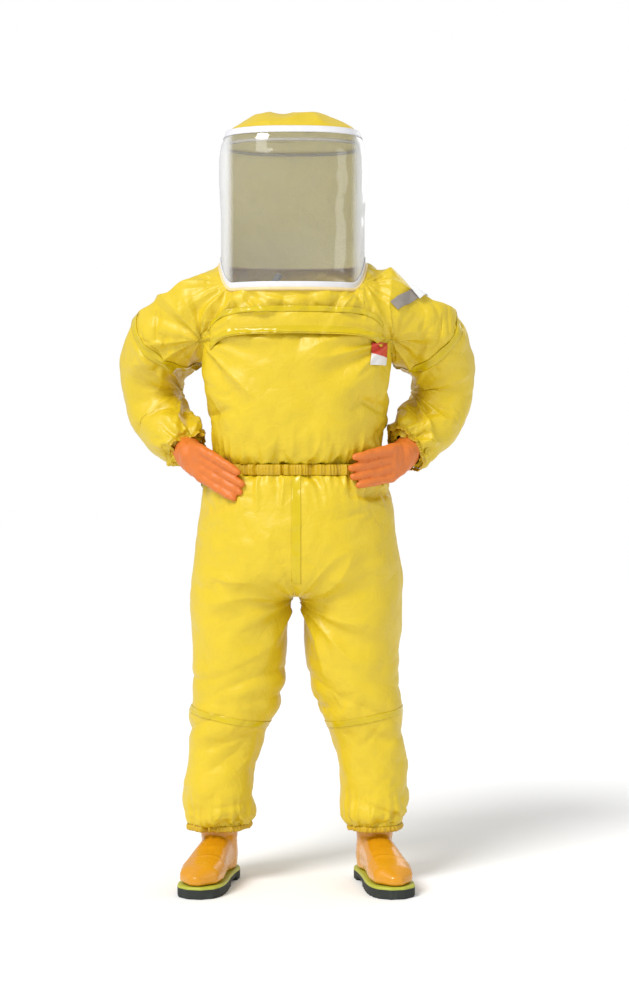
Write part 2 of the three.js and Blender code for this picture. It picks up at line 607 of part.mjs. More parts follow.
const footProfile = profile([
  [-TOE_REACH, 12, 20],
  [-TOE_REACH + 12, 34, 30],
  [-TOE_REACH + 40, 46, 42],
  [-TOE_REACH + 85, 48, 54],
  [-TOE_REACH + 150, 41, 76],
  [0, 38, 88],
  [HEEL_REACH - 40, 38, 80],
  [HEEL_REACH - 12, 27, 66],
  [HEEL_REACH, 10, 50],
]);
const shaftProfile = profile([
  [SOLE_THICKNESS, SHAFT_RADIUS - 6, SHAFT_RADIUS + 16, 8],
  [70, SHAFT_RADIUS - 4, SHAFT_RADIUS + 8, 6],
  [100, SHAFT_RADIUS - 4, SHAFT_RADIUS + 2, 4],
  [HEM, SHAFT_RADIUS, SHAFT_RADIUS + 5, 0],
  [HEM + 70, SHAFT_RADIUS + 5, SHAFT_RADIUS + 8, 0],
  [BOOT_TOP, SHAFT_RADIUS + 8, SHAFT_RADIUS + 10, 0],
]);

function footRow(y, out) {
  const [halfWidth, top] = footProfile(y);
  const halfHeight = (top + 12) / 2;
  const row = levelRow(vector(0, 0, 0), halfWidth + out, halfHeight + out, SIDES.boot, null, 2.4);
  return row.map((point) => vector(point.x, y, SOLE_THICKNESS + top - halfHeight + point.y));
}

function shaftRow(z, out) {
  const [halfWidth, halfDepth, back] = shaftProfile(z);
  return levelRow(vector(0, back, z), halfWidth + out, halfDepth + out, SIDES.boot, null, 2.1);
}

function bootBlank(out, ends) {
  const foot = bodyFrom(steps(-TOE_REACH - out, HEEL_REACH + out, 8).map((y) => {
    return footRow(THREE.MathUtils.clamp(y, -TOE_REACH, HEEL_REACH), out).map((point) => point.setY(y));
  }), { wall: false });
  const shaft = bodyFrom([SOLE_THICKNESS, 65, 100, HEM, 200, BOOT_TOP + ends].map((z) => shaftRow(z, out)),
    { wall: false });
  return united(foot, shaft);
}

function footOutline(lip) {
  const places = steps(-TOE_REACH - lip, HEEL_REACH + lip, 16);
  const halfWidth = (y) => footProfile(THREE.MathUtils.clamp(y, -TOE_REACH, HEEL_REACH))[0] + lip;
  const left = places.map((y) => new THREE.Vector2(halfWidth(y), y));
  const right = places.map((y) => new THREE.Vector2(-halfWidth(y), y)).reverse();
  return new THREE.Shape(left.concat(right));
}

const INSOLE_EASE = 11;
const BOOT_FLOOR = SOLE_THICKNESS + BOOT_WALL;
const bootCavity = kept(bootBlank(-BOOT_WALL, 5), above(BOOT_FLOOR));
const bootUpper = cut(kept(bootBlank(0, 0), above(SOLE_THICKNESS)), bootCavity);
const insoleBlank = new THREE.ExtrudeGeometry(footOutline(-BOOT_WALL - INSOLE_EASE), { depth: 4, bevelEnabled: false });
const insole = insoleBlank.translate(0, 0, BOOT_FLOOR + 2 * GAP);

// A cleated sole with a heel block: the arch is raised and grooves cross the tread.
const ARCH_RISE = 9;
const CLEAT_GROOVE = 5;
const solePlate = new THREE.ExtrudeGeometry(footOutline(SOLE_LIP), { depth: SOLE_THICKNESS - GAP, bevelEnabled: false });
const arch = boxBetween(vector(-90, -62, -5), vector(90, 4, ARCH_RISE));
const grooves = [-195, -172, -149, -126, -103, -80, 24, 46].map((y) => {
  return boxBetween(vector(-90, y, -5), vector(90, y + CLEAT_GROOVE, CLEAT_GROOVE));
});
const sole = cut(solePlate, arch, ...grooves);

const thighPlaces = steps(KNEE_SPLIT + GAP / 2, LEG_SPLIT - GAP / 2, 4);
const shinPlaces = [HEM - 8, HEM, HEM + 12, ...steps(HEM + 40, KNEE_SPLIT - GAP / 2, 5)];
const thigh = bodyFrom(wallRows(thighPlaces, legRow, 0, -WALL));
const shin = bodyFrom(wallRows(shinPlaces, legRow, 0, -WALL));

// The tape round the leg below the knee dips towards the inside.
const KNEE_TAPE_DROP = 24;
const KNEE_TAPE_WIDTH = 14;
const KNEE_TAPE_SLOPE = 12;
const kneeBand = bodyFrom(wallRows(shinPlaces.slice(-3), legRow, 2 * GAP + TAPE, 2 * GAP));
const kneeSlice = new THREE.BoxGeometry(300, 300, KNEE_TAPE_WIDTH).rotateY(-KNEE_TAPE_SLOPE * DEGREE);
kneeSlice.translate(FOOT_SPREAD - 20, 0, KNEE_SPLIT - KNEE_TAPE_DROP - KNEE_TAPE_WIDTH / 2);
const kneeTape = kept(kneeBand, kneeSlice);
const ankleElastic = bodyFrom(wallRows([HEM - 8, HEM], legRow, GAP + ELASTIC_WALL, GAP));

BOTH.forEach(({ side, sign, place }) => {
  const hipDepth = legProfile(LEG_SPLIT)[2];
  const kneeDepth = legProfile(KNEE_SPLIT)[2];
  const hip = bodyAt(suit, vector(sign * LEG_SPREAD, -hipDepth - 1, LEG_SPLIT));
  const knee = bodyAt(hip, vector(sign * LEG_SPREAD, kneeDepth + 1, KNEE_SPLIT));
  add(hip, `thigh_${side}`, place(thigh), FABRIC);
  add(knee, `shin_${side}`, place(shin), FABRIC);
  add(knee, `knee_seam_tape_${side}`, place(kneeTape), SEAM);
  add(knee, `ankle_elastic_${side}`, place(ankleElastic), SEAM);
  const stand = (geometry) => place(geometry.clone().rotateZ(TOE_OUT * DEGREE).translate(FOOT_SPREAD, 0, 0));
  add(knee, `boot_upper_${side}`, stand(bootUpper), BOOT);
  add(knee, `boot_insole_${side}`, stand(insole), GREY);
  add(knee, `boot_sole_${side}`, stand(sole), SOLE);
});

// ---------------------------------------------------------------- sleeves, gloves

const upperSleeve = kept(armShell, outside(ARM_SPLIT), above(ELBOW_SPLIT));
const lowerSleeve = kept(armShell, below(ELBOW_SPLIT));
const sleeveTape = bodyFrom(wallRows([TAPE_START, TAPE_END], armRow, GAP + TAPE, GAP));
const wristElastic = bodyFrom(wallRows([CUFF_START, CUFF_END], armRow, GAP + ELASTIC_WALL, GAP));

// A glove on the wearer's left hand: cuff and palm, four fingers round the hip and a thumb behind it.
const PALM_REFERENCE = vector(0.1, 0.1, 1);

function fingerTube(points, radius, wall) {
  const path = new THREE.CatmullRomCurve3(points);
  const ends = [0, 0.5, 0.93, 1];
  const shares = [1, 1, 0.9, 0.45];
  const rows = ends.map((place, i) => {
    const size = Math.max(radius * shares[i] - wall, 0.8);
    return pathRow(path, place === 1 && wall ? 0.97 : place, [size, size], PALM_REFERENCE, SIDES.finger);
  });
  return bodyFrom(rows, { wall: false });
}

function gloveBlank(wall, droop) {
  const knuckles = fromHip(-27, -99, 934);
  const fall = Math.tan(droop * DEGREE);
  const palmPath = new THREE.CatmullRomCurve3([
    armPath.getPoint(CUFF_START - 0.06), armPath.getPoint(1), fromHip(-4, -58, 951), knuckles,
    fromHip(-36, -112, 932 - 8 * fall),
  ]);
  const palmSizes = profile([
    [0, CUFF_RADIUS - 5, CUFF_RADIUS - 5], [0.25, CUFF_RADIUS - 5, CUFF_RADIUS - 8], [0.38, CUFF_RADIUS - 2, 21],
    [0.55, 39, 18], [0.8, 41, 14], [1, 36, 10],
  ]);
  const palm = bodyFrom(steps(0, 1, 6).map((place) => {
    const sizes = palmSizes(place).map((size) => size - wall);
    return pathRow(palmPath, place, sizes, PALM_REFERENCE, SIDES.palm, 2.2);
  }), { wall: false });
  const fingers = [0, 1, 2, 3].map((i) => {
    const z = knuckles.z + 31 - 20.5 * i;
    const reach = [64, 72, 68, 54][i];
    const at = (share, y) => vector(knuckles.x + 6 - reach * share - 8, y, z - 0.82 * reach * share * fall);
    return fingerTube([at(0, -100), at(0.5, -124), at(1, -141), at(1.12, -143)], FINGER_RADIUS, wall);
  });
  const thumbPoints = [fromHip(-4, -52, 944), fromHip(-21, -20, 936), fromHip(-33, 4, 932), fromHip(-38, 16, 931)];
  const thumb = fingerTube(thumbPoints, FINGER_RADIUS + 1.5, wall);
  return united(palm, thumb, ...fingers);
}

function gloveShell(droop) {
  const mouth = [CUFF_START - 0.1, CUFF_START - 0.045].map((place) => {
    const size = CUFF_RADIUS - 5 - GLOVE_WALL - 1;
    return pathRow(armPath, place, [size, size], PALM_REFERENCE, SIDES.palm);
  });
  return mainBody(cut(gloveBlank(0, droop), gloveBlank(GLOVE_WALL, droop), bodyFrom(mouth, { wall: false })));
}

// The hanging strip on the wearer's left shoulder, with its folded tag.
function stripRow(place, out) {
  const share = 0.085 + 0.035 * place;
  const centre = armPath.getPoint(share);
  const radius = armRadius(share)[0] + out;
  const along = armPath.getTangent(share).normalize();
  const first = vector(0, 0, 1).addScaledVector(along, -along.z).normalize();
  const second = along.clone().cross(first);
  const middle = mix(1.5, 0.6, place);
  return steps(middle - 0.13, middle + 0.13, 3).map((angle) => centre.clone()
    .addScaledVector(first, radius * Math.cos(angle))
    .addScaledVector(second, radius * Math.sin(angle)));
}
const strip = bodyFrom(wallRows(steps(0, 1, 6), stripRow, 3.4, 2), { round: false });
const tagRow = (place, out) => stripRow(place, out + 2);
const tag = bodyFrom(wallRows([0.86, 0.95, 1.02], tagRow, 4, 1.8), { round: false });

const shoulderTop = new THREE.Box3().setFromBufferAttribute(upperSleeve.getAttribute("position")).max.z;
const HAND_DROOP = { left: 12, right: 30 };

BOTH.forEach(({ side, sign, place }) => {
  const shoulder = bodyAt(suit, vector(sign * ARM_SPLIT, 0, shoulderTop + 1));
  const elbowReach = armPath.getPoint(4 / 9).x + ELBOW_RADIUS + 12;
  const elbow = bodyAt(shoulder, vector(sign * elbowReach, 0, ELBOW_SPLIT));
  add(shoulder, `upper_sleeve_${side}`, place(upperSleeve), FABRIC);
  add(shoulder, `sleeve_seam_tape_${side}`, place(sleeveTape), SEAM);
  add(elbow, `lower_sleeve_${side}`, place(lowerSleeve), FABRIC);
  add(elbow, `wrist_elastic_${side}`, place(wristElastic), SEAM);
  add(elbow, `glove_${side}`, place(gloveShell(HAND_DROOP[side])), ORANGE);
  if (side === "left") {
    add(shoulder, "shoulder_strip", strip, GREY);
    add(shoulder, "strip_tag", tag, WHITE);
  }
});

// ---------------------------------------------------------------- air inlet, hose and exhaust valves

const turned = (points) => {
  const outline = points.map(([radius, height]) => new THREE.Vector2(radius, height));
  return outward(new THREE.LatheGeometry(outline, SIDES.turned));
};

// Turned pieces are drawn with their axis along +Y, and the inlet's then looks out along -X.
const atInlet = (geometry) => geometry.rotateZ(Math.PI / 2).translate(...inletPlace.toArray());
const FLANGE_RADIUS = 15;
const NUT_RADIUS = FLANGE_RADIUS - 1;
const inletStem = turned([
  [INLET_BORE, -27], [INLET_STEM, -27], [INLET_STEM, 6], [FLANGE_RADIUS, 6], [FLANGE_RADIUS, 8],
  [INLET_STEM - 1, 8], [INLET_STEM - 1, 22], [INLET_BORE, 22], [INLET_BORE, -27],
]);
const inletNut = turned([
  [INLET_STEM + GAP, -25], [NUT_RADIUS, -25], [NUT_RADIUS, -21], [INLET_STEM + GAP, -21],
  [INLET_STEM + GAP, -25],
]);
const collar = turned([
  [INLET_STEM - 1 + GAP, 9 + COLLAR_TRAVEL], [INLET_STEM + 3, 9 + COLLAR_TRAVEL], [INLET_STEM + 3, 20],
  [INLET_STEM - 1 + GAP, 20], [INLET_STEM - 1 + GAP, 9 + COLLAR_TRAVEL],
]);
add(suit, "inlet_stem", atInlet(inletStem), DARK);
add(suit, "inlet_nut", atInlet(inletNut), DARK);
const collarBody = bodyAt(suit, inletPlace);
add(collarBody, "inlet_collar", atInlet(collar), GREY);

const hosePath = new THREE.CatmullRomCurve3([
  vector(inletPlace.x + 29, inletPlace.y, inletPlace.z),
  vector(inletPlace.x + 42, inletPlace.y, inletPlace.z + 2),
  vector(-140, 48, 925), vector(-130, 62, 975), vector(-118, 92, 1060),
  vector(-110, 112, 1150), vector(-100, 112, 1240), vector(-70, 104, 1330), vector(-40, 108, 1380),
]);
const hoseRow = (place, out) => pathRow(hosePath, place, [HOSE_RADIUS + out, HOSE_RADIUS + out], vector(0, 1, 0.1), 8);
add(suit, "air_hose", bodyFrom(wallRows(steps(0, 1, 14), hoseRow, 0, -2)), GREY);

BOTH.forEach(({ side, sign }) => {
  const seatY = -chestFront(VALVE_SPREAD - VALVE_RADIUS, VALVE_HEIGHT, 2);
  const atValve = (geometry) => geometry.translate(sign * VALVE_SPREAD, seatY, VALVE_HEIGHT);
  const seat = turned([
    [VALVE_PORT, -16], [VALVE_STEM, -16], [VALVE_STEM, 0], [VALVE_RADIUS, 0], [VALVE_RADIUS, 3],
    [VALVE_PORT, 3], [VALVE_PORT, -16],
  ]);
  const disc = turned([[0, 3 + GAP], [VALVE_PORT + 4, 3 + GAP], [VALVE_PORT + 4, 4.8], [0, 5.4]]);
  const cover = turned([
    [VALVE_RADIUS - 3, 3 + GAP], [VALVE_RADIUS, 3 + GAP], [VALVE_RADIUS, 10], [VALVE_RADIUS - 5, 14],
    [6, 14], [6, 12], [VALVE_RADIUS - 6, 12], [VALVE_RADIUS - 3, 9], [VALVE_RADIUS - 3, 3 + GAP],
  ]);
  const vents = steps(0, 2 * Math.PI, 8).slice(0, -1).map((angle) => new THREE.BoxGeometry(5, 4, 14)
    .translate(0, 7, VALVE_RADIUS).rotateY(angle));
  add(suit, `valve_seat_${side}`, atValve(seat), GREY);
  add(suit, `valve_cover_${side}`, atValve(cut(cover, ...vents)), FABRIC);
  const discBody = bodyAt(suit, vector(sign * VALVE_SPREAD, seatY, VALVE_HEIGHT));
  add(discBody, `valve_disc_${side}`, atValve(disc), SOLE);
});

export default suit;
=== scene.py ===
"""The visible surface of an inflated chemical protective suit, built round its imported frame.

The frame's nodes give every place and size. Cloth, gloves and boots are remeshed from copies of
their solids, swollen or smoothed, creased, and cut at their seams. Metres, +Z up, the front of
the suit faces -Y and the wearer's left is +X.
"""

import math

import bmesh
import bpy
import numpy as np
from bpy.props import FloatProperty, FloatVectorProperty, IntProperty, PointerProperty
from mathutils import Matrix, Vector, noise
from mathutils.bvhtree import BVHTree


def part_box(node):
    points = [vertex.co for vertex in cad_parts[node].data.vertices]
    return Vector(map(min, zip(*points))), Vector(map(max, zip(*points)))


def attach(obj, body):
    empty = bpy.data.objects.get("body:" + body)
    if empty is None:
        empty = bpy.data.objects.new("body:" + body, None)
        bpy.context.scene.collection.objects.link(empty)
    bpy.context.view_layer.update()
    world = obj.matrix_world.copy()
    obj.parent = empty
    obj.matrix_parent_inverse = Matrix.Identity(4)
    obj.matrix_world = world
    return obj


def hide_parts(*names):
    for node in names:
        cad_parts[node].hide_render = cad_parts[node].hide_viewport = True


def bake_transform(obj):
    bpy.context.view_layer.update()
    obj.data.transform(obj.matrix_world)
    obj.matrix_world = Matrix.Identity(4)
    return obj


bl_info = {
    "name": "Chemical protective suit",
    "version": (1, 0, 0),
    "blender": (4, 5, 0),
    "location": "3D View > Sidebar > Suit",
    "description": "Builds the visible surface of an inflated protective suit round its frame",
    "category": "Object",
}

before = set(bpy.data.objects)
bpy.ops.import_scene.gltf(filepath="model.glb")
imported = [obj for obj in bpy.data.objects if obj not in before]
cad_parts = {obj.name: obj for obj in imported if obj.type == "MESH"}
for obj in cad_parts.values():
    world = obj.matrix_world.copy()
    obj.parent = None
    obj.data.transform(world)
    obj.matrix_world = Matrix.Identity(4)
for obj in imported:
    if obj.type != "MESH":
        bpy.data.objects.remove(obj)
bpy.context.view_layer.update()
SIDES = (("left", 1), ("right", -1))


# ---------------------------------------------------------------- sizes and colours


def length(name, default, description, low=0.0):
    """A length in metres that the user may change."""
    return FloatProperty(name=name, description=description, default=default, min=low,
                         unit="LENGTH", precision=4)


def colour(name, default, description):
    """A linear colour that the user may change."""
    return FloatVectorProperty(name=name, description=description, default=default, size=3,
                               min=0, max=1, subtype="COLOR")


class ClothSettings(bpy.types.PropertyGroup):
    """How the garment is swollen and creased."""

    voxel: length("Cell", 0.006, "Size of the cloth's cells before they are subdivided", 0.002)
    pressure: FloatProperty(name="Pressure", description="Air pressure inside the suit", default=4.0)
    ease: FloatProperty(name="Ease", description="How much more cloth there is than the shape needs",
                        default=0.06, subtype="FACTOR")
    frames: IntProperty(name="Frames", description="Steps of the cloth simulation", default=20, min=2)
    cap: length("Cap", 0.016, "How far the simulation may move a point")
    gather: length("Gather", 0.006, "Depth of the gathers beside an elastic")
    gather_reach: length("Gather reach", 0.07, "How far the gathers run from an elastic")
    fold: length("Fold", 0.0075, "Depth of the folds at the armpits and elbows")


class SizeSettings(bpy.types.PropertyGroup):
    """Thicknesses of the trims."""

    tape: length("Tape", 0.0011, "Thickness of a seam tape")
    tape_lift: length("Tape lift", 0.0004, "How far a seam tape stands off the cloth")
    visor: length("Visor", 0.0012, "Thickness of the visor's clear sheet")
    ripple: length("Ripple", 0.0016, "Depth of the visor's ripples")
    binding: length("Binding", 0.0145, "Height of the white edge along the visor's foot and top")
    binding_side: length("Side binding", 0.006, "Width of the white edge down each side of the visor")
    tape_width: length("Tape width", 0.020, "Width of a seam tape")
    foot_front: length("Foot, front", 1.331, "Height of the hood's seam in front")
    foot_back: length("Foot, back", 1.398, "Height of the hood's seam at the back")
    knee_slope: FloatProperty(name="Knee slope", description="Slope of the tape below the knee, in degrees",
                              default=11.0)
    squareness: FloatProperty(name="Squareness", description="2 is an ellipse, more is squarer", default=2.5)


class ColourSettings(bpy.types.PropertyGroup):
    """Colours of the suit's finishes."""

    suit: colour("Suit", (0.67, 0.485, 0.010), "Coated cloth")
    seam: colour("Seam tape", (0.56, 0.355, 0.002), "Welded seam tape")
    lining: colour("Hood lining", (0.86, 0.78, 0.36), "Cloth of the hood, seen from inside")
    binding: colour("Binding", (0.72, 0.72, 0.75), "Welded white edge of the visor")
    rim: colour("Rim", (0.80, 0.62, 0.30), "Pale seam outside the binding")
    hoop: colour("Hoop", (0.36, 0.33, 0.25), "Hoop inside the hood")
    glove: colour("Glove", (0.66, 0.165, 0.018), "Rubber glove")
    boot: colour("Boot", (0.68, 0.29, 0.004), "Rubber boot")
    sole: colour("Sole", (0.022, 0.026, 0.022), "Boot sole")
    welt: colour("Welt", (0.42, 0.44, 0.04), "Welt above the sole")
    strip: colour("Strip", (0.26, 0.23, 0.20), "Reflective strip on the shoulder")
    label: colour("Label", (0.80, 0.78, 0.75), "Cloth label")
    label_band: colour("Label band", (0.62, 0.06, 0.03), "Coloured band of the label")
    fitting: colour("Fitting", (0.018, 0.035, 0.022), "Air inlet")
    brass: colour("Zip metal", (0.62, 0.50, 0.24), "Zip teeth and slider")


def settings(group):
    """The scene's own copy of a settings group."""
    return getattr(bpy.context.scene, "suit_" + group)


# ---------------------------------------------------------------- meshes


def copy_of(*names):
    """One mesh made of copies of frame nodes, with their shared corners merged."""
    mesh = bmesh.new()
    for name in names:
        mesh.from_mesh(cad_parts[name].data)
    bmesh.ops.remove_doubles(mesh, verts=mesh.verts, dist=1e-5)
    return mesh


def corners(*names):
    """The corners of frame nodes as an array."""
    return np.array([v.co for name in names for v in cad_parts[name].data.vertices], float)


def middle(name):
    """The centre of a frame node's box."""
    low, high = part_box(name)
    return (low + high) / 2


def ring_plane(name):
    """The centre and the unit axis of a ring-shaped frame node."""
    points = corners(name)
    centre = points.mean(0)
    axis = np.linalg.svd(points - centre)[2][2]
    return Vector(centre), Vector(axis)


def as_object(mesh, name):
    """A new object at the origin that holds a bmesh, smooth all over."""
    data = bpy.data.meshes.new(name)
    mesh.to_mesh(data)
    mesh.free()
    for face in data.polygons:
        face.use_smooth = True
    made = bpy.data.objects.new(name, data)
    bpy.context.scene.collection.objects.link(made)
    return made


def as_bmesh(piece):
    """A bmesh of an object's mesh."""
    mesh = bmesh.new()
    mesh.from_mesh(piece.data)
    return mesh


def put_back(mesh, piece):
    """Writes a bmesh into its object."""
    mesh.to_mesh(piece.data)
    mesh.free()
    for face in piece.data.polygons:
        face.use_smooth = True


def settle(piece):
    """Applies an object's modifiers to its mesh."""
    graph = bpy.context.evaluated_depsgraph_get()
    data = bpy.data.meshes.new_from_object(piece.evaluated_get(graph))
    piece.modifiers.clear()
    piece.data = data
    for face in data.polygons:
        face.use_smooth = True


def remeshed(mesh, name, size):
    """A closed skin of even cells round a bmesh. Sealed hollows inside it are filled."""
    piece = as_object(mesh, name)
    cells = piece.modifiers.new("Cells", "REMESH")
    cells.mode = "VOXEL"
    cells.voxel_size = size
    settle(piece)
    return piece


def plug(mesh, points):
    """Adds the closed hull of some points, which seals an opening."""
    made = [mesh.verts.new(point) for point in points]
    hull = bmesh.ops.convex_hull(mesh, input=made)
    loose = [v for v in hull["geom_interior"] if isinstance(v, bmesh.types.BMVert) and v.is_valid]
    bmesh.ops.delete(mesh, geom=loose, context="VERTS")


def slice_points(names, axis, place, depth):
    """Corners of nodes between two levels, to cap an opening."""
    points = corners(*names)
    near = points[np.abs(points[:, axis] - place) < depth]
    return [Vector(point) for point in near]


def sliced(mesh, point, normal, keep_outer=True):
    """Cuts a mesh along a plane and drops what is behind it, or in front of it."""
    geom = mesh.verts[:] + mesh.edges[:] + mesh.faces[:]
    bmesh.ops.bisect_plane(mesh, geom=geom, dist=1e-6, plane_co=point, plane_no=normal,
                           clear_inner=keep_outer, clear_outer=not keep_outer)
    return mesh


def eased(mesh, offset, sharp=0.8):
    """Takes off every edge whose faces turn by more than the angle given, in radians."""
    edges = [e for e in mesh.edges if e.calc_face_angle(0) > sharp]
    bmesh.ops.bevel(mesh, geom=edges, offset=offset, segments=2, profile=0.5, affect="EDGES", material=-1)


def smoothed(mesh, times, factor=0.5):
    """Smooths every vertex that isn't on an open edge."""
    free = [v for v in mesh.verts if not v.is_boundary]
    for _ in range(times):
        bmesh.ops.smooth_vert(mesh, verts=free, factor=factor, use_axis_x=True, use_axis_y=True,
                              use_axis_z=True)


def finish(piece, body, material, replaces=()):
    """Gives a finished piece its material and hides the nodes that it stands for. It is put on its body when
    one body is named; a bend between two bodies is not used, and such a piece is only fixed where it stands.
    """
    piece.data.materials.clear()
    piece.data.materials.append(material)
    if isinstance(body, str):
        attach(piece, body)
    else:
        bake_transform(piece)
    if replaces:
        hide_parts(*replaces)
    return piece


# ---------------------------------------------------------------- shader maths


class Value:
    """A shader value or vector that can stand in a Python expression."""

    def __init__(self, tree, socket=None):
        self.tree = tree
        self.socket = socket

    def node(self, kind, sockets, out=0, **settings_first):
        """Adds a node: its settings first, then the values or links of its sockets."""
        made = self.tree.nodes.new(kind)
        for name, value in settings_first.items():
            if name == "stops":
                for i, (place, shade) in enumerate(value):
                    stop = made.color_ramp.elements[i] if i < 2 else made.color_ramp.elements.new(place)
                    stop.position, stop.color = place, (*shade, 1)
            else:
                setattr(made, name, value)
        for name, value in sockets.items():
            if isinstance(value, Value):
                self.tree.links.new(value.socket, made.inputs[name])
            else:
                made.inputs[name].default_value = value
        return Value(self.tree, made.outputs[out]) if made.outputs else None

    def maths(self, operation, *values):
        return self.node("ShaderNodeMath", dict(enumerate(values)), operation=operation)

    def __add__(self, other):
        return self.maths("ADD", self, other)

    __radd__ = __add__

    def __sub__(self, other):
        return self.maths("SUBTRACT", self, other)

    def __rsub__(self, other):
        return self.maths("SUBTRACT", other, self)

    def __mul__(self, other):
        return self.maths("MULTIPLY", self, other)

    __rmul__ = __mul__

    def __truediv__(self, other):
        return self.maths("DIVIDE", self, other)

    def __pow__(self, other):
        return self.maths("POWER", self, other)

    def __abs__(self):
        return self.maths("ABSOLUTE", self)

    def clamped(self):
        return self.maths("MINIMUM", self.maths("MAXIMUM", self, 0.0), 1.0)

    def step(self, low, high):
        """0 below low, 1 above high, smooth between."""
        return self.node("ShaderNodeMapRange", {0: self, 1: low, 2: high}, interpolation_type="SMOOTHSTEP")

    def cloud(self, scale, detail=3.0, rough=0.55, twist=0.0):
        """Soft noise at a number of lumps a metre."""
        sockets = {"Vector": self, "Scale": scale, "Detail": detail, "Roughness": rough, "Distortion": twist}
        return self.node("ShaderNodeTexNoise", sockets)

    def ridge(self, scale, detail=2.0, sharp=3.0, twist=0.0):
        """Thin crests that run through a noise."""
        return (1 - abs(self.cloud(scale, detail, 0.5, twist) * 2 - 1)) ** sharp

    def stretched(self, x, y, z):
        """A place scaled along each axis."""
        return self.node("ShaderNodeMapping", {"Vector": self, "Scale": (x, y, z)})

    def axis(self, letter):
        """One coordinate of a place."""
        return self.node("ShaderNodeSeparateXYZ", {0: self}, out="XYZ".index(letter))

    def mixed(self, first, second):
        """A colour between two, by this value."""
        return self.node("ShaderNodeMix", {0: self, 6: first, 7: second}, out=2, data_type="RGBA")


class Finish:
    """One material: the object's own coordinates in, one surface shader out."""

    def __init__(self, name):
        self.material = bpy.data.materials.new(name)
        self.material.use_nodes = True
        self.tree = self.material.node_tree
        self.tree.nodes.clear()
        self.start = Value(self.tree)
        self.place = self.start.node("ShaderNodeTexCoord", {}, out=3)

    def bump(self, height, distance, strength=1.0):
        return self.start.node("ShaderNodeBump",
                               {"Height": height, "Distance": distance, "Strength": strength})

    def surface(self, **sockets):
        """The main shader. Socket names are given with underscores."""
        named = {name.replace("_", " ").title().replace("Ior", "IOR"): value
                 for name, value in sockets.items()}
        return self.start.node("ShaderNodeBsdfPrincipled", named)

    def done(self, shader):
        self.start.node("ShaderNodeOutputMaterial", {"Surface": shader})
        return self.material


def four(shade, scale=1.0):
    """A colour with its alpha, lighter or darker by a factor."""
    return (*[min(max(part * scale, 0), 1) for part in shade], 1)


def coated_cloth(name, shade, gloss=0.40, crumple=1.0):
    """Coated cloth: a satin skin with small creases whose crests are painted paler as a painted highlight,
    and faint changes of tone.
    """
    finish_ = Finish(name)
    place = finish_.place
    tone = place.cloud(5.0, 3.0)
    small = place.ridge(34.0, 3.0, 2.5, 0.6)
    fine = place.ridge(95.0, 2.0, 2.0)
    grain = place.cloud(900.0, 1.0)
    height = small * 0.6 + fine * 0.22 + grain * 0.03
    # painted highlight: the crests of the small creases are painted paler, as if they caught the light; the
    # cloud tone changes at random
    paint = (tone * 0.9 + small * 0.25).clamped().mixed(four(shade, 0.90), four(shade, 1.08))
    rough = tone * 0.12 + (gloss - 0.04) + small * 0.05
    bump = finish_.bump(height * crumple, 0.0022, 0.55)
    return finish_.done(finish_.surface(base_color=paint, roughness=rough, normal=bump,
                                        coat_weight=0.12, coat_roughness=0.3))


def seam_tape_finish():
    """Glossy welded tape with faint puckers across it."""
    if "seam_tape" in bpy.data.materials:
        return bpy.data.materials["seam_tape"]
    finish_ = Finish("seam_tape")
    place = finish_.place
    pucker = place.ridge(55.0, 2.0, 2.0)
    tone = place.cloud(9.0, 2.0)
    shade = settings("colours").seam
    paint = tone.mixed(four(shade, 0.88), four(shade, 1.10))
    bump = finish_.bump(pucker + place.cloud(240.0) * 0.3, 0.0012, 0.5)
    return finish_.done(finish_.surface(base_color=paint, roughness=tone * 0.12 + 0.24, normal=bump,
                                        coat_weight=0.35, coat_roughness=0.15))


def plain_plastic(name, shade, gloss):
    """Moulded plastic or rubber with a faint grain."""
    if name in bpy.data.materials:
        return bpy.data.materials[name]
    finish_ = Finish(name)
    tone = finish_.place.cloud(60.0, 3.0)
    paint = tone.mixed(four(shade, 0.88), four(shade, 1.1))
    bump = finish_.bump(finish_.place.cloud(700.0, 2.0), 0.0002, 0.4)
    rough = tone * 0.15 + (gloss - 0.07)
    return finish_.done(finish_.surface(base_color=paint, roughness=rough, normal=bump))


def metal(name, shade, gloss):
    """Worn plated metal."""
    finish_ = Finish(name)
    tone = finish_.place.cloud(140.0, 3.0)
    paint = tone.mixed(four(shade, 0.8), four(shade, 1.15))
    return finish_.done(finish_.surface(base_color=paint, roughness=tone * 0.2 + (gloss - 0.1), metallic=1.0))


def zip_teeth(shade):
    """Interlocked teeth: pale metal between gaps painted dark as painted shade, a few to the centimetre."""
    finish_ = Finish("zip_teeth")
    x = finish_.place.axis("X")
    pitch = finish_.start.maths("FRACT", x * 400.0)
    tooth = abs(pitch * 2 - 1).step(0.35, 0.6)
    # painted shade: the gaps between the teeth are painted near black, for the shade in them
    paint = tooth.mixed((0.12, 0.09, 0.03, 1), four(shade, 1.15))
    return finish_.done(finish_.surface(base_color=paint, roughness=0.35, metallic=tooth,
                                        normal=finish_.bump(tooth, 0.0012, 0.8)))


def binding_edge():
    """The welded white edge of the visor."""
    shade = settings("colours").binding
    finish_ = Finish("edge_binding")
    tone = finish_.place.cloud(30.0, 3.0)
    paint = tone.mixed(four(shade, 0.92), four(shade, 1.1))
    bump = finish_.bump(finish_.place.ridge(70.0, 2.0, 2.0), 0.0008, 0.5)
    return finish_.done(finish_.surface(base_color=paint, roughness=tone * 0.15 + 0.25, normal=bump))


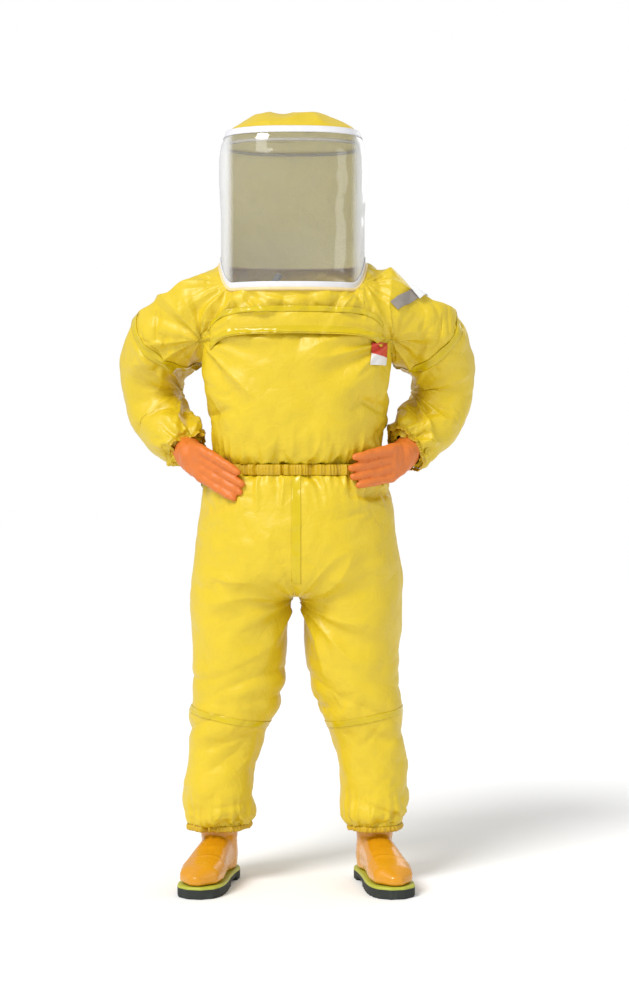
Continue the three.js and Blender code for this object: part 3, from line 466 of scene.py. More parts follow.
def clear_sheet():
    """The clear visor: seen through in front; where it turns round the sides it is painted milky white and
    streaked, a painted reflection of the light, over a faint haze of its own.
    """
    finish_ = Finish("visor_sheet")
    place = finish_.place
    # painted reflection: the sides where the sheet turns, and the streaks on them, are painted milky white
    # for the light they reflect; the faint haze all over is the sheet's own
    side = abs(place.axis("X") + 0.009).step(0.128, 0.156)
    haze = place.cloud(5.0, 3.0, 0.6)
    reflection_streak = place.stretched(1.0, 1.0, 0.25).cloud(26.0, 2.0)
    haze_and_painted_reflection = (side * 0.55 + haze * 0.08 + reflection_streak * side * 0.25 + 0.015).clamped()
    wave = finish_.bump(place.cloud(7.0, 2.0) + place.cloud(24.0, 1.0) * 0.14, 0.012, 0.8)
    body = finish_.start.node("ShaderNodeBsdfPrincipled", {
        "Base Color": (0.93, 0.94, 0.95, 1), "Roughness": 0.25, "Alpha": haze_and_painted_reflection, "Normal": wave})
    gloss = finish_.start.node("ShaderNodeBsdfGlossy", {
        "Color": (1, 1, 1, 1), "Roughness": 0.04, "Normal": wave})
    facing = finish_.start.node("ShaderNodeLayerWeight", {"Blend": 0.5, "Normal": wave}, out="Facing")
    share = finish_.start.maths("POWER", facing, 4.0) * 0.45 + 0.035
    return finish_.done(finish_.start.node("ShaderNodeMixShader", {0: share, 1: body, 2: gloss}))


def label_finish(low, high):
    """A cloth label: a coloured band over a white field, with no words."""
    colours = settings("colours")
    finish_ = Finish("label_cloth")
    height = finish_.place.axis("Z")
    slant = height + finish_.place.axis("X") * 0.25
    start = low + (high - low) * 0.5 + 0.17 * 0.25
    red = slant.step(start, start + 0.0008)
    weave = finish_.place.cloud(900.0, 1.0)
    paint = red.mixed(four(colours.label), four(colours.label_band))
    return finish_.done(finish_.surface(base_color=paint, roughness=0.6,
                                        normal=finish_.bump(weave, 0.0003, 0.5)))


def strip_finish():
    """The grey reflective strip: fine weave, with a tone that changes at random."""
    shade = settings("colours").strip
    finish_ = Finish("grey_strip")
    weave = finish_.place.cloud(700.0, 2.0)
    tone = finish_.place.cloud(30.0, 3.0)
    paint = tone.mixed(four(shade, 0.85), four(shade, 1.25))
    return finish_.done(finish_.surface(base_color=paint, roughness=tone * 0.2 + 0.35,
                                        normal=finish_.bump(weave, 0.0004, 0.5)))


def glove_rubber():
    """Matt orange rubber, painted a little paler on the crests of its creases as a painted highlight."""
    shade = settings("colours").glove
    finish_ = Finish("glove_rubber")
    tone = finish_.place.cloud(22.0, 4.0)
    crease = finish_.place.ridge(75.0, 2.0, 2.0, 0.4)
    grain = finish_.place.cloud(600.0, 2.0)
    # painted highlight: the crease crests are painted paler, as if they caught the light; the cloud tone
    # changes at random
    paint = (tone * 0.8 + crease * 0.3).clamped().mixed(four(shade, 0.82), four(shade, 1.12))
    bump = finish_.bump(crease * 0.6 + grain * 0.1, 0.0012, 0.6)
    return finish_.done(finish_.surface(base_color=paint, roughness=tone * 0.15 + 0.42, normal=bump,
                                        coat_weight=0.1, coat_roughness=0.4))


def boot_rubber():
    """Glossy moulded rubber with scuffs near the floor."""
    shade = settings("colours").boot
    finish_ = Finish("boot_rubber")
    place = finish_.place
    tone = place.cloud(14.0, 4.0)
    scuff = place.cloud(55.0, 4.0).step(0.55, 0.7) * (1 - place.axis("Z").step(0.03, 0.10))
    paint = (tone * 0.8 + scuff * 0.2).clamped().mixed(four(shade, 0.85), four(shade, 1.12))
    bump = finish_.bump(place.cloud(60.0, 3.0) + place.cloud(500.0, 2.0) * 0.2, 0.0008, 0.4)
    return finish_.done(finish_.surface(base_color=paint, roughness=scuff * 0.25 + tone * 0.1 + 0.22,
                                        normal=bump, coat_weight=0.25, coat_roughness=0.12))


def sole_rubber():
    """The black sole with the yellow-green welt on top of it."""
    colours = settings("colours")
    finish_ = Finish("sole_rubber")
    place = finish_.place
    welt = place.axis("Z").step(0.0205, 0.0212)
    grain = place.cloud(160.0, 3.0)
    dust = place.cloud(30.0, 4.0).step(0.5, 0.75)
    black = dust.mixed(four(colours.sole), four(colours.sole, 2.2))
    paint = finish_.start.node("ShaderNodeMix", {0: welt, 6: black, 7: four(colours.welt)},
                               out=2, data_type="RGBA")
    return finish_.done(finish_.surface(base_color=paint, roughness=0.82 - welt * 0.35,
                                        normal=finish_.bump(grain, 0.0006, 0.5)))


# ---------------------------------------------------------------- garment


GARMENT = {}


def near_bvh(*names):
    """A tree that answers how far a point is from frame nodes."""
    mesh = copy_of(*names)
    tree = BVHTree.FromBMesh(mesh)
    mesh.free()
    return tree


def jacket_blank(cell):
    """The chest, the shoulders and the tops of the sleeves, down to the waist, without the hood."""
    hood = ("visor", "hood_rear_wall", "hood_crown")
    cloth = ("chest_yoke", "torso_front", "torso_back", "upper_sleeve_left", "upper_sleeve_right")
    mesh = copy_of(*cloth, *hood)
    slot_low, slot_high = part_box("zip_chain")[0].z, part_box("zip_chain")[1].z
    torso = ("chest_yoke", "torso_front", "torso_back")
    plug(mesh, slice_points(torso, 2, (slot_low + slot_high) / 2, 0.012))
    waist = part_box("torso_front")[0].z
    plug(mesh, slice_points(torso, 2, waist, 0.002) + [
        p + Vector((0, 0, 0.004)) for p in slice_points(torso, 2, waist, 0.002)])
    for side, sign in SIDES:
        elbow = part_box("upper_sleeve_" + side)[0].z
        rim = slice_points(("upper_sleeve_" + side,), 2, elbow, 0.001)
        plug(mesh, rim + [p + Vector((0, 0, 0.004)) for p in rim])
        valve = middle("valve_seat_" + side)
        hole = [p for p in slice_points(torso, 2, valve.z, 0.021)
                if p.y > 0 and abs(p.x - valve.x) < 0.021]
        if len(hole) > 3:
            plug(mesh, hole)
    piece = remeshed(mesh, "jacket_blank", cell)
    mesh = as_bmesh(piece)
    to_hood, to_cloth = near_bvh(*hood), near_bvh(*cloth)
    inside = []
    for vertex in mesh.verts:
        if vertex.co.z > 1.2:
            nearer_hood = to_cloth.find_nearest(vertex.co)[3] - to_hood.find_nearest(vertex.co)[3]
            if nearer_hood > 0.002:
                inside.append(vertex)
    bmesh.ops.delete(mesh, geom=inside, context="VERTS")
    sliced(mesh, (0, 0, waist), (0, 0, 1))
    for side, sign in SIDES:
        centre, axis = ring_plane("sleeve_seam_tape_" + side)
        if axis.x * sign > 0:
            axis = -axis
        sliced_beyond(mesh, centre, axis, sign)
    fit_neck(mesh)
    put_back(mesh, piece)
    return piece


def fit_neck(mesh):
    """Draws the cloth round the neck on to the seam at the hood's foot."""
    hood = GARMENT["hood"]
    edge = [v for v in mesh.verts if v.is_boundary and v.co.z > 1.30
            and abs(v.co.x) < 0.2 and (v.co - hood.at(hood.angle(v.co), v.co.z)).length < 0.03]
    angles = np.array([hood.angle(v.co) for v in edge])
    heights = np.array([v.co.z for v in edge])
    order = np.argsort(angles)
    angles, heights = angles[order], heights[order]
    angles = np.concatenate((angles - 2 * math.pi, angles, angles + 2 * math.pi))
    heights = np.tile(heights, 3)
    ring = set(edge)
    for vertex in mesh.verts:
        if vertex.co.z < 1.22 or abs(vertex.co.x) > 0.26:
            continue
        angle = hood.angle(vertex.co)
        near = np.abs(angles - angle) < 0.06
        now = heights[near].mean() if near.any() else np.interp(angle, angles, heights)
        goal = hood.at(angle, hood.foot(angle), 0.0015)
        old = hood.at(angle, now, 0.0015)
        if vertex in ring:
            vertex.co = goal
            continue
        gap = (vertex.co - old).length
        fade = max(0.0, 1 - gap / 0.085)
        vertex.co += (goal - old) * fade * fade * (3 - 2 * fade)


def sliced_beyond(mesh, centre, axis, sign):
    """Cuts the end off one sleeve only."""
    reach = 0.14
    faces = [f for f in mesh.faces if sign * f.calc_center_median().x > 0.20
             and (f.calc_center_median() - centre).length < reach]
    verts = {v for f in faces for v in f.verts}
    edges = {e for f in faces for e in f.edges}
    bmesh.ops.bisect_plane(mesh, geom=list(verts) + list(edges) + faces, dist=1e-6, plane_co=centre,
                           plane_no=axis, clear_inner=False, clear_outer=False)
    beyond = [v for v in mesh.verts if sign * v.co.x > 0.20 and (v.co - centre).dot(axis) < -1e-5]
    bmesh.ops.delete(mesh, geom=beyond, context="VERTS")


def sleeve_blank(side, sign, cell):
    """A sleeve from its seam tape to the cuff."""
    upper, lower = "upper_sleeve_" + side, "lower_sleeve_" + side
    mesh = copy_of(upper, lower)
    low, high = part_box(upper)
    inner_x = low.x if sign > 0 else high.x
    rim = slice_points((upper,), 0, inner_x, 0.001)
    plug(mesh, rim + [p + Vector((sign * 0.004, 0, 0)) for p in rim])
    cuff, cuff_axis = ring_plane("wrist_elastic_" + side)
    if cuff_axis.z > 0:
        cuff_axis = -cuff_axis
    plug(mesh, [cuff + (Vector(p) - cuff) * 0.93 for p in corners("wrist_elastic_" + side)])
    piece = remeshed(mesh, "sleeve_blank_" + side, cell)
    mesh = as_bmesh(piece)
    centre, axis = ring_plane("sleeve_seam_tape_" + side)
    if axis.x * sign > 0:
        axis = -axis
    sliced(mesh, centre, axis, keep_outer=False)
    points = corners("wrist_elastic_" + side)
    reach = max((Vector(p) - cuff).dot(cuff_axis) for p in points)
    sliced(mesh, cuff + cuff_axis * (reach - 0.001), cuff_axis, keep_outer=False)
    put_back(mesh, piece)
    return piece


def trouser_blank(cell):
    """The trousers and both legs, from the waist to the hems."""
    mesh = copy_of("trouser_left", "trouser_right", "thigh_left", "thigh_right", "shin_left", "shin_right")
    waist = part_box("trouser_left")[1].z
    trousers = ("trouser_left", "trouser_right")
    rim = slice_points(trousers, 2, waist, 0.001)
    plug(mesh, rim + [p - Vector((0, 0, 0.004)) for p in rim])
    inlet = middle("inlet_nut")
    plug(mesh, [p for p in slice_points(trousers, 2, inlet.z, 0.012)
                if p.x < 0 and abs(p.y - inlet.y) < 0.012])
    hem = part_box("shin_left")[0].z
    for side, _ in SIDES:
        rim = slice_points(("shin_" + side,), 2, hem, 0.001)
        plug(mesh, rim + [p + Vector((0, 0, 0.004)) for p in rim])
    piece = remeshed(mesh, "trouser_blank", cell)
    mesh = as_bmesh(piece)
    sliced(mesh, (0, 0, waist), (0, 0, 1), keep_outer=False)
    sliced(mesh, (0, 0, hem + 0.001), (0, 0, 1))
    put_back(mesh, piece)
    return piece


# ---------------------------------------------------------------- creases and swelling


def gather_rings():
    """Where elastics hold each island: centre, axis, how far a gather reaches, its depth, its radius."""
    cloth = settings("cloth")
    waist = (middle("waist_elastic"), Vector((0, 0, 1)), cloth.gather_reach, cloth.gather * 1.5, 0.3)
    rings = {"jacket": [waist], "trousers": [waist]}
    for side, _ in SIDES:
        wrist = ring_plane("wrist_elastic_" + side)
        rings["sleeve_" + side] = [(*wrist, cloth.gather_reach * 0.7, cloth.gather * 0.8, 0.1)]
        ankle = middle("ankle_elastic_" + side)
        rings["trousers"].append((ankle, Vector((0, 0, 1)), cloth.gather_reach, cloth.gather, 0.15))
    return rings


def creased(point, rings):
    """How far out a point of the cloth starts, before the swelling."""
    lump = noise.noise(point * 7.0 + Vector((3.1, 0.7, 5.2))) * 0.004
    lump += noise.noise(point * 17.0 + Vector((9.4, 2.7, 1.2))) * 0.003
    for centre, axis, reach, depth, radius in rings:
        offset = point - centre
        along = offset.dot(axis)
        if abs(along) > reach or (offset - along * axis).length > radius:
            continue
        across = offset - along * axis
        wave = noise.noise(across * 48.0 + axis * (along * 9.0) + centre * 40.0)
        wave = 1 - 2.2 * abs(wave)
        fade = (1 - abs(along) / reach) ** 1.4 * min(abs(along) / 0.016, 1)
        lump += wave * depth * fade
    return lump


def pinned(point, rings, seams, to_hood, zipped):
    """1 where the cloth is held, 0 where it may move."""
    for centre, axis, _, _, radius in rings:
        offset = point - centre
        if abs(offset.dot(axis)) < 0.009 and offset.length < radius:
            return 1.0
    for centre, axis in seams:
        offset = point - centre
        if abs(offset.dot(axis)) < 0.008 and offset.length < 0.16:
            return 1.0
    low, high = zipped
    if point.y < 0 and low.z - 0.016 < point.z < high.z + 0.016 and abs(point.x) < high.x + 0.02:
        return 1.0
    if point.z > 1.28 and to_hood.find_nearest(point)[3] < 0.010:
        return 1.0
    return 0.0


def swell(pieces):
    """Creases the blanks, then swells them together in one cloth simulation."""
    cloth = settings("cloth")
    gathers = gather_rings()
    rings = [ring for island in ("trousers", "sleeve_left", "sleeve_right") for ring in gathers[island]]
    seams = [ring_plane("sleeve_seam_tape_" + side) for side, _ in SIDES]
    to_hood = near_bvh("visor", "hood_rear_wall")
    whole = bmesh.new()
    for piece in pieces:
        whole.from_mesh(piece.data)
    smoothed(whole, 24)
    whole.normal_update()
    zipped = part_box("zip_chain")
    holds = [pinned(v.co, rings, seams, to_hood, zipped)
             or (v.is_boundary and v.co.z > 1.27 and abs(v.co.x) < 0.2) for v in whole.verts]
    whole.verts.ensure_lookup_table()
    starts = [v.co + v.normal * (creased(v.co, rings) * (0.25 if hold else 1.0))
              for v, hold in zip(whole.verts, holds)]
    for vertex, start in zip(whole.verts, starts):
        vertex.co = start
    garment = as_object(whole, "garment")
    group = garment.vertex_groups.new(name="held")
    group.add([i for i, hold in enumerate(holds) if hold], 1.0, "REPLACE")
    fabric = garment.modifiers.new("Cloth", "CLOTH")
    fabric.settings.quality = 5
    fabric.settings.mass = 0.2
    fabric.settings.tension_stiffness = 15
    fabric.settings.compression_stiffness = 15
    fabric.settings.shear_stiffness = 5
    fabric.settings.bending_stiffness = 0.35
    fabric.settings.use_pressure = True
    fabric.settings.uniform_pressure_force = cloth.pressure
    fabric.settings.shrink_min = -cloth.ease
    fabric.settings.vertex_group_mass = "held"
    fabric.settings.effector_weights.gravity = 0
    fabric.collision_settings.use_collision = False
    fabric.point_cache.frame_end = cloth.frames
    for step in range(1, cloth.frames + 1):
        bpy.context.scene.frame_set(step)
    settle(garment)
    bpy.context.scene.frame_set(1)
    swollen = np.array([v.co for v in garment.data.vertices])
    first = np.array(starts)
    shift = swollen - first
    far = np.linalg.norm(shift, axis=1)
    limit = cloth.cap * np.tanh(far / cloth.cap)
    swollen = first + shift * (limit / np.maximum(far, 1e-9))[:, None]
    begin = 0
    for piece in pieces:
        count = len(piece.data.vertices)
        piece.data.vertices.foreach_set("co", swollen[begin:begin + count].astype(np.float32).ravel())
        piece.data.update()
        begin += count
    bpy.data.objects.remove(garment)


def crest(x, y, z):
    """A fold line: 1 along it, and falling away sharply beside it."""
    return 1 - 3.2 * min(abs(noise.noise(Vector((x, y, z)))), 0.6)


def window(place, low, high, soft):
    """1 between two places, fading to 0 beyond them."""
    share = min((place - low) / soft, (high - place) / soft) + 1
    share = min(max(share, 0.0), 1.0)
    return share * share * (3 - 2 * share)


def fans():
    """Points that draw each island together: centre, first and last radius, folds round it, depth."""
    cloth = settings("cloth")
    made = {"jacket": [], "trousers": [(Vector((0, 0, 0.640)), 0.040, 0.150, 2.3, cloth.fold * 0.75)]}
    for side, sign in SIDES:
        armpit = (Vector((sign * 0.212, -0.04, 1.222)), 0.030, 0.150, 2.3, cloth.fold)
        neck = (Vector((sign * 0.150, -0.05, 1.350)), 0.020, 0.120, 2.6, cloth.fold * 0.7)
        elbow = (Vector((sign * 0.262, 0.06, 1.110)), 0.030, 0.105, 2.1, cloth.fold * 1.1)
        wrist = (Vector((sign * 0.235, 0.02, 1.000)), 0.030, 0.070, 2.6, cloth.fold * 0.7)
        made["jacket"] += [armpit, neck]
        made["sleeve_" + side] = [armpit, elbow, wrist]
    return made


def folded(point, centres, rings):
    """How far out the folds lift a point of the finished cloth."""
    lump = 0.0
    for index, (centre, near, far, count, depth) in enumerate(centres):
        x, z = point.x - centre.x, point.z - centre.z
        radius = math.hypot(x, z)
        if radius > far * 1.5 or radius < 1e-6:
            continue
        share = window(radius, near, far, far * 0.45)
        round_x, round_z = abs(centre.x) * 30 + x / radius * count, z / radius * count
        lump += depth * share * crest(round_x, round_z, radius * 4.0 + point.y * 3.0 + 2.0 * index)
    z = point.z
    for low, high, soft, across, up, depth in BUNCHES:
        share = window(z, low, high, soft)
        if share:
            lump -= depth * share * crest(point.x * across + low * 40, point.y * across,
                                          z * up + abs(point.x) * across * 1.2)
    for centre, axis, reach, depth, radius in rings:
        offset = point - centre
        along = offset.dot(axis)
        across = offset - along * axis
        if abs(along) > reach * 1.5 or across.length > radius * 1.2:
            continue
        fade = max(1 - abs(along) / (reach * 1.5), 0) ** 1.3 * min(abs(along) / 0.016, 1)
        unit = across.normalized() * across.length ** 0.5
        lump += depth * 0.8 * fade * crest(unit.x * 17, unit.y * 17, unit.z * 17 + along * 6)
    lump -= 0.0022 * crest(point.x * 7 + 3, point.y * 7, point.z * 9)
    lump -= 0.0009 * crest(point.x * 19, point.y * 19 + 5, point.z * 24)
    return lump


# where the legs' cloth bunches: lowest, highest, fade, folds across and up to the metre, depth in metres
BUNCHES = (
    (0.345, 0.455, 0.060, 4.0, 17.0, 0.0050),
    (0.140, 0.200, 0.060, 5.0, 21.0, 0.0045),
    (0.200, 0.330, 0.050, 8.0, 11.0, 0.0026),
    (0.960, 0.990, 0.050, 9.0, 5.0, 0.0030),
)


def held_back(mesh):
    """Keeps the cloth behind the exhaust valves' flanges and behind the zip."""
    valves = [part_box("valve_seat_" + side) for side, _ in SIDES]
    low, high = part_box("zip_chain")
    half = high.x
    arc = (half * half + (high.y - low.y) ** 2) / (2 * (high.y - low.y))
    for vertex in mesh.verts:
        p = vertex.co
        if p.y > 0:
            for first, last in valves:
                away = math.hypot(p.x - (first.x + last.x) / 2, p.z - (first.z + last.z) / 2)
                if away < 0.055:
                    p.y = min(p.y, last.y - 0.0038 + max(away - 0.031, 0) * 0.7)
        elif abs(p.z - (low.z + high.z) / 2) < 0.020 and abs(p.x) < half + 0.012:
            front = low.y + arc - math.sqrt(arc * arc - p.x * p.x)
            p.y = max(p.y, front + 0.0060)


SHOULDER_TOP = 1.397
SHOULDER_INNER = 0.169
SHOULDER_FALL = 0.562


def refined(piece, island):
    """One subdivision of the swollen cloth, its folds, and its normals kept for the cuts that follow."""
    finer = piece.modifiers.new("Finer", "SUBSURF")
    finer.levels = finer.render_levels = 1
    settle(piece)
    centres, rings = fans()[island], gather_rings()[island]
    hood = GARMENT["hood"]
    mesh = as_bmesh(piece)
    mesh.normal_update()
    moves = []
    for vertex in mesh.verts:
        point = vertex.co
        lump = folded(point, centres, rings)
        if point.z > 1.26 and abs(point.x) < 0.26:
            angle = hood.angle(point)
            lump *= min(max((hood.at(angle, hood.foot(angle)) - point).length - 0.003, 0) / 0.03, 1)
        slope = SHOULDER_TOP - (abs(point.x) - SHOULDER_INNER) * SHOULDER_FALL
        over = max(point.z - slope, 0) if 0.18 < abs(point.x) < 0.40 else 0
        moves.append(vertex.normal * lump - Vector((0, 0, 0.8 * over)))
    for vertex, move in zip(mesh.verts, moves):
        vertex.co += move
    if island == "jacket":
        held_back(mesh)
    put_back(mesh, piece)
    data = piece.data
    normals = np.zeros(len(data.vertices) * 3, np.float32)
    data.vertices.foreach_get("normal", normals)
    whole = data.attributes.new("whole_normal", "FLOAT_VECTOR", "POINT")
    whole.data.foreach_set("vector", normals)


def panel(source, name, keep, planes=()):
    """A piece of the garment: cut along planes, then the faces whose centres are kept."""
    mesh = as_bmesh(source)
    for point, normal in planes:
        geom = mesh.verts[:] + mesh.edges[:] + mesh.faces[:]
        bmesh.ops.bisect_plane(mesh, geom=geom, dist=1e-6, plane_co=point, plane_no=normal)
    gone = [face for face in mesh.faces if not keep(face.calc_center_median())]
    bmesh.ops.delete(mesh, geom=gone, context="FACES")
    made = as_object(mesh, name)
    kept = np.zeros(len(made.data.vertices) * 3, np.float32)
    made.data.attributes["whole_normal"].data.foreach_get("vector", kept)
    made.data.normals_split_custom_set_from_vertices(kept.reshape(-1, 3))
    made.data.attributes.remove(made.data.attributes["whole_normal"])
    return made


def band(source, name, keep, planes, lift, thickness):
    """A tape laid on the garment: a copy of the cloth between planes, lifted and thickened."""
    mesh = as_bmesh(source)
    for point, normal in planes:
        geom = mesh.verts[:] + mesh.edges[:] + mesh.faces[:]
        bmesh.ops.bisect_plane(mesh, geom=geom, dist=1e-6, plane_co=point, plane_no=normal)
    gone = [face for face in mesh.faces if not keep(face.calc_center_median())]
    bmesh.ops.delete(mesh, geom=gone, context="FACES")
    mesh.normal_update()
    for vertex in mesh.verts:
        vertex.co += vertex.normal * lift
    bmesh.ops.solidify(mesh, geom=mesh.faces[:], thickness=-thickness)
    return as_object(mesh, name)


# where the garment is cut at each joint, and where each joint's bend would start and end, in metres; nothing
# bends the cloth with these bends
SHOULDER_X = (0.200, 0.250)
ARMPIT_Z = 1.140
ELBOW_Z = (1.165, 1.085)
ELBOW_CUT = 1.168
HIP_Z = (0.645, 0.540)
THIGH_CUT = 0.500
KNEE_Z = (0.465, 0.350)


def shoulder_bend(side, sign):
    return ("torso", "upper_arm_" + side, (sign * SHOULDER_X[0], 0, 1.2), (sign * SHOULDER_X[1], 0, 1.2))


def elbow_bend(side):
    return ("upper_arm_" + side, "forearm_" + side, (0, 0, ELBOW_Z[0]), (0, 0, ELBOW_Z[1]))


def hip_bend(side):
    return ("torso", "thigh_" + side, (0, 0, HIP_Z[0]), (0, 0, HIP_Z[1]))


def knee_bend(side):
    return ("thigh_" + side, "shin_" + side, (0, 0, KNEE_Z[0]), (0, 0, KNEE_Z[1]))


class SUIT_OT_garment(bpy.types.Operator):
    """Builds the jacket, sleeves and trousers as swollen cloth."""

    bl_idname = "suit.garment"
    bl_label = "Garment"

    def execute(self, context):
        cell = settings("cloth").voxel
        shade = settings("colours")
        yellow = coated_cloth("suit_cloth", shade.suit)
        GARMENT.update(cloth=yellow, hood=Hood())
        jacket, trousers = jacket_blank(cell), trouser_blank(cell)
        sleeves = {side: sleeve_blank(side, sign, cell) for side, sign in SIDES}
        swell([jacket, trousers, *sleeves.values()])
        refined(jacket, "jacket")
        refined(trousers, "trousers")
        for side, piece in sleeves.items():
            refined(piece, "sleeve_" + side)
        GARMENT.update(jacket=jacket, trousers=trousers)
        GARMENT.update({"sleeve_" + side: piece for side, piece in sleeves.items()})
        edge = SHOULDER_X[0]
        planes = [((edge, 0, 0), (1, 0, 0)), ((-edge, 0, 0), (1, 0, 0)), ((0, 0, ARMPIT_Z), (0, 0, 1))]
        trunk = panel(jacket, "jacket", lambda c: abs(c.x) < edge or c.z < ARMPIT_Z, planes)
        finish(trunk, "torso", yellow, ("chest_yoke", "torso_front", "torso_back"))
        for side, sign in SIDES:
            top = panel(jacket, "shoulder_" + side, lambda c: sign * c.x > edge and c.z > ARMPIT_Z, planes)
            finish(top, shoulder_bend(side, sign), yellow, ("upper_sleeve_" + side,))
            cut = [((0, 0, ELBOW_CUT), (0, 0, 1))]
            upper = panel(sleeves[side], "sleeve_upper_" + side, lambda c: c.z > ELBOW_CUT, cut)
            finish(upper, shoulder_bend(side, sign), yellow)
            lower = panel(sleeves[side], "sleeve_lower_" + side, lambda c: c.z < ELBOW_CUT, cut)
            finish(lower, elbow_bend(side), yellow, ("lower_sleeve_" + side,))
            leg = [((0, 0, 0), (1, 0, 0)), ((0, 0, HIP_Z[0]), (0, 0, 1)), ((0, 0, THIGH_CUT), (0, 0, 1))]
            thigh = panel(trousers, "leg_upper_" + side,
                          lambda c: sign * c.x > 0 and THIGH_CUT < c.z < HIP_Z[0], leg)
            finish(thigh, hip_bend(side), yellow, ("thigh_" + side,))
            shin = panel(trousers, "leg_lower_" + side, lambda c: sign * c.x > 0 and c.z < THIGH_CUT, leg)
            finish(shin, knee_bend(side), yellow, ("shin_" + side,))
        seat = panel(trousers, "trousers", lambda c: c.z > HIP_Z[0], [((0, 0, HIP_Z[0]), (0, 0, 1))])
        finish(seat, "torso", yellow, ("trouser_left", "trouser_right"))
        return {"FINISHED"}


# ---------------------------------------------------------------- hood


def spans(names, heights):
    """The half width, half depth and centre of nodes at some heights, from where their edges cross."""
    mesh = copy_of(*names)
    rows = []
    for height in heights:
        hits = []
        for edge in mesh.edges:
            a, b = edge.verts[0].co, edge.verts[1].co
            if (a.z - height) * (b.z - height) < 0:
                hits.append(a.lerp(b, (height - a.z) / (b.z - a.z)))
        xs, ys = [p.x for p in hits], [p.y for p in hits]
        rows.append(((max(xs) - min(xs)) / 2, (max(ys) - min(ys)) / 2,
                     (max(xs) + min(xs)) / 2, (max(ys) + min(ys)) / 2))
    mesh.free()
    return np.array(rows)


class Hood:
    """The hood's outline at every height: a rounded rectangle that narrows towards the crown."""

    def __init__(self):
        self.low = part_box("hood_rear_wall")[0].z
        self.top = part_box("visor")[1].z
        self.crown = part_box("hood_crown")[1].z
        wall = ("visor", "hood_rear_wall")
        back_foot = max(self.low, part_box("visor")[0].z) + 0.10
        heights = np.linspace(back_foot, self.top - 0.002, 14)
        self.heights = np.concatenate(([self.low - 0.08], heights))
        sizes = spans(wall, heights)
        self.sizes = np.vstack((sizes[:1], sizes))
        self.squareness = settings("sizes").squareness

    def at(self, angle, height, out=0.0):
        """A point of the hood's wall. The front is at -90 degrees."""
        half_x, half_y, x, y = (np.interp(height, self.heights, self.sizes[:, i]) for i in range(4))
        c, s = math.cos(angle), math.sin(angle)
        power = 2 / self.squareness
        return Vector((x + (half_x + out) * math.copysign(abs(c) ** power, c),
                       y + (half_y + out) * math.copysign(abs(s) ** power, s), height))

    def angle(self, point):
        """The angle whose wall point lies straight out from the axis through a point."""
        _, _, x, y = (np.interp(point[2], self.heights, self.sizes[:, i]) for i in range(4))
        half_x, half_y = (np.interp(point[2], self.heights, self.sizes[:, i]) for i in range(2))
        u, v = (point[0] - x) / half_x, (point[1] - y) / half_y
        power = self.squareness / 2
        return math.atan2(math.copysign(abs(v) ** power, v), math.copysign(abs(u) ** power, u))

    def foot(self, angle):
        """The height of the seam round the hood's foot: level in front, higher at the back."""
        size = settings("sizes")
        turn = abs((math.degrees(angle) + 90 + 180) % 360 - 180)
        rise = min(max((turn - 50) / 45, 0), 1)
        return size.foot_front + (size.foot_back - size.foot_front) * rise * rise * (3 - 2 * rise)

    def side_angle(self, y):
        """The angle of the wall's right side at a depth."""
        middle_height = (self.low + self.top) / 2
        half_y, centre = (np.interp(middle_height, self.heights, self.sizes[:, i]) for i in (1, 3))
        return math.asin(((y - centre) / half_y) ** (self.squareness / 2))


def sheet_between(name, count, rows, at, thickness=0.0):
    """A curved sheet: a grid whose points are placed by two shares, and given a thickness inwards."""
    mesh = bmesh.new()
    bmesh.ops.create_grid(mesh, x_segments=count, y_segments=rows, size=0.5)
    for vertex in mesh.verts:
        vertex.co = at(vertex.co.x + 0.5, vertex.co.y + 0.5)
    bmesh.ops.remove_doubles(mesh, verts=mesh.verts, dist=1e-6)
    mesh.normal_update()
    if thickness:
        bmesh.ops.solidify(mesh, geom=mesh.faces[:], thickness=thickness)
        bmesh.ops.recalc_face_normals(mesh, faces=mesh.faces)
    return as_object(mesh, name)


def mixed(a, b, share):
    return a + (b - a) * share


